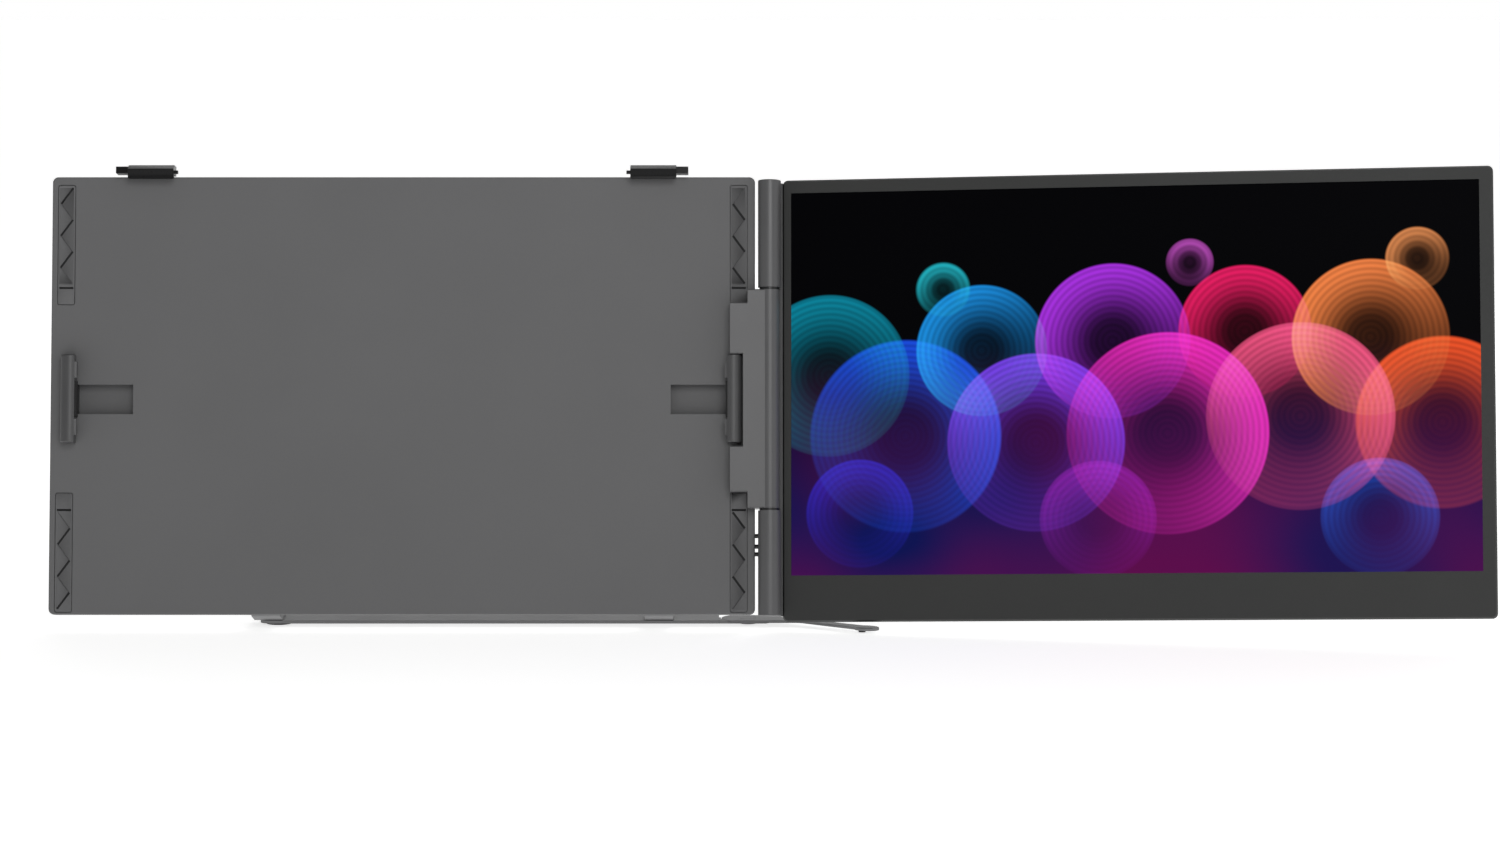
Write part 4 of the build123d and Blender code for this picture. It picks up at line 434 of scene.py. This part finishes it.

# Grip strips: the floors of their broad grooves get a darker rubber colour, a painted shade for the shadow
# that falls in the grooves
grips = {
    "pieces": {"grip_strip_upper_left": "gripUpperLeft", "grip_strip_upper_right": "gripUpperRight",
               "grip_strip_lower_left": "gripLowerLeft", "grip_strip_lower_right": "gripLowerRight"},
    "faceBehindAxis": 0.0055, "grooveBelow": 0.0006, "smoothTo": 30, "facesForward": 0.9,
}
for node, name in grips["pieces"].items():
    piece = bpy.data.objects.new(name, frame["nodes"][node].data.copy())
    bpy.context.scene.collection.objects.link(piece)
    bpy.ops.object.select_all(action="DESELECT")
    piece.select_set(True)
    bpy.context.view_layer.objects.active = piece
    bpy.ops.object.mode_set(mode="EDIT")
    bpy.ops.mesh.select_all(action="SELECT")
    bpy.ops.mesh.remove_doubles(threshold=meshing["mergeMetres"])
    bpy.ops.object.mode_set(mode="OBJECT")
    bpy.ops.object.shade_smooth_by_angle(angle=math.radians(grips["smoothTo"]))
    piece.data.materials.clear()
    piece.data.materials.append(materials["gripGrey"])
    piece.data.materials.append(materials["paintedGrooveShade"])
    # groove floors that face forward take the painted shade
    for face in piece.data.polygons:
        height = (face.center - axisFoot).dot(outWay) + grips["faceBehindAxis"]
        if height < -grips["grooveBelow"] and face.normal.dot(outWay) > grips["facesForward"]:
            face.material_index = 1
    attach(piece, "bracket")
    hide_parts(node)
print("groove floors darkened on", len(grips["pieces"]), "grip strips")

# Camera at the photograph's place, and the plain studio round the object
shot = {"place": (0.00109, -2.6039, 0.3695), "pitch": 5.6, "lens": 111.54, "sensor": 36.0}
bpy.ops.object.camera_add(location=shot["place"], rotation=(math.radians(90 - shot["pitch"]), 0, 0))
camera = bpy.context.object
camera.data.lens = shot["lens"]
camera.data.sensor_width = shot["sensor"]
bpy.context.scene.camera = camera

# The room's brightness goes by direction: each pair says where a soft change of light starts and ends, on
# the Y or X part of the direction. The paper's fibre is drawn coarser than life
studio = {"floorSize": 60.0, "floorDrop": 0.0002, "floorColour": "f6f6f5", "fibreColour": "efefee",
          "fibreMm": 2.5, "floorGlow": 0.66, "backdrop": 1.0, "room": 0.22, "rightWall": 0.75,
          "backdropFrom": (0.35, 0.75), "leftEndsAt": (-0.42, -0.2), "rightWallFrom": (0.45, 0.9),
          "lights": [("keyPanel", (0.5, -3.2, 1.7), (66, 0, 9), 1.6, 33),
                     ("backPanel", (0.9, 2.4, 1.5), (-62, 0, -20), 1.2, 14)]}
bpy.ops.mesh.primitive_plane_add(size=studio["floorSize"], location=(0, 0, -studio["floorDrop"]))
floor = bpy.context.object
floor.name = "floor"
paper, paperTree, paperPlace = startMaterial("paperBackdrop")
fibre = addNode(paperTree, "ShaderNodeTexNoise", {"Scale": 1000 / studio["fibreMm"], "Detail": 2.0},
                {"Vector": paperPlace})
paperTint = addNode(paperTree, "ShaderNodeMix", {"data_type": "RGBA", 6: toLinear(studio["fibreColour"]),
                                                 7: toLinear(studio["floorColour"])},
                    {0: fibre.outputs["Fac"]})
finishMaterial(paperTree, addNode(paperTree, "ShaderNodeBsdfPrincipled",
                                  {"Roughness": 0.9, "Emission Color": toLinear("ffffff"),
                                   "Emission Strength": studio["floorGlow"]},
                                  {"Base Color": paperTint.outputs[2]}))
floor.data.materials.append(paper)
world = bpy.data.worlds.new("softStudio")
world.use_nodes = True
bpy.context.scene.world = world
worldTree = world.node_tree
direction = addNode(worldTree, "ShaderNodeSeparateXYZ",
                    links={0: addNode(worldTree, "ShaderNodeTexCoord").outputs["Generated"]})
behind = addNode(worldTree, "ShaderNodeMapRange", {"interpolation_type": "SMOOTHSTEP",
                                                   "From Min": studio["backdropFrom"][0],
                                                   "From Max": studio["backdropFrom"][1]},
                 {"Value": direction.outputs["Y"]})
fromLeft = addNode(worldTree, "ShaderNodeMapRange", {"interpolation_type": "SMOOTHSTEP",
                                                     "From Min": studio["leftEndsAt"][0],
                                                     "From Max": studio["leftEndsAt"][1],
                                                     "To Min": studio["room"],
                                                     "To Max": studio["backdrop"]},
                   {"Value": direction.outputs["X"]})
backdrop = addNode(worldTree, "ShaderNodeMix", {2: studio["room"]}, {0: behind.outputs[0],
                                                                     3: fromLeft.outputs[0]})
rightWall = addNode(worldTree, "ShaderNodeMapRange", {"interpolation_type": "SMOOTHSTEP",
                                                      "From Min": studio["rightWallFrom"][0],
                                                      "From Max": studio["rightWallFrom"][1],
                                                      "To Min": 0.0,
                                                      "To Max": studio["rightWall"]},
                    {"Value": direction.outputs["X"]})
shade = addNode(worldTree, "ShaderNodeMath", {"operation": "MAXIMUM"}, {0: backdrop.outputs[0],
                                                                        1: rightWall.outputs[0]})
worldTree.links.new(shade.outputs[0], worldTree.nodes["Background"].inputs["Strength"])
worldTree.nodes["Background"].inputs["Color"].default_value = toLinear("ffffff")
for name, place, turn, size, power in studio["lights"]:
    bpy.ops.object.light_add(type="AREA", location=place, rotation=[math.radians(angle) for angle in turn])
    lamp = bpy.context.object
    lamp.name = name
    lamp.data.size = size
    lamp.data.energy = power
bpy.context.scene.view_settings.view_transform = "Standard"
print("camera, floor and lights set")
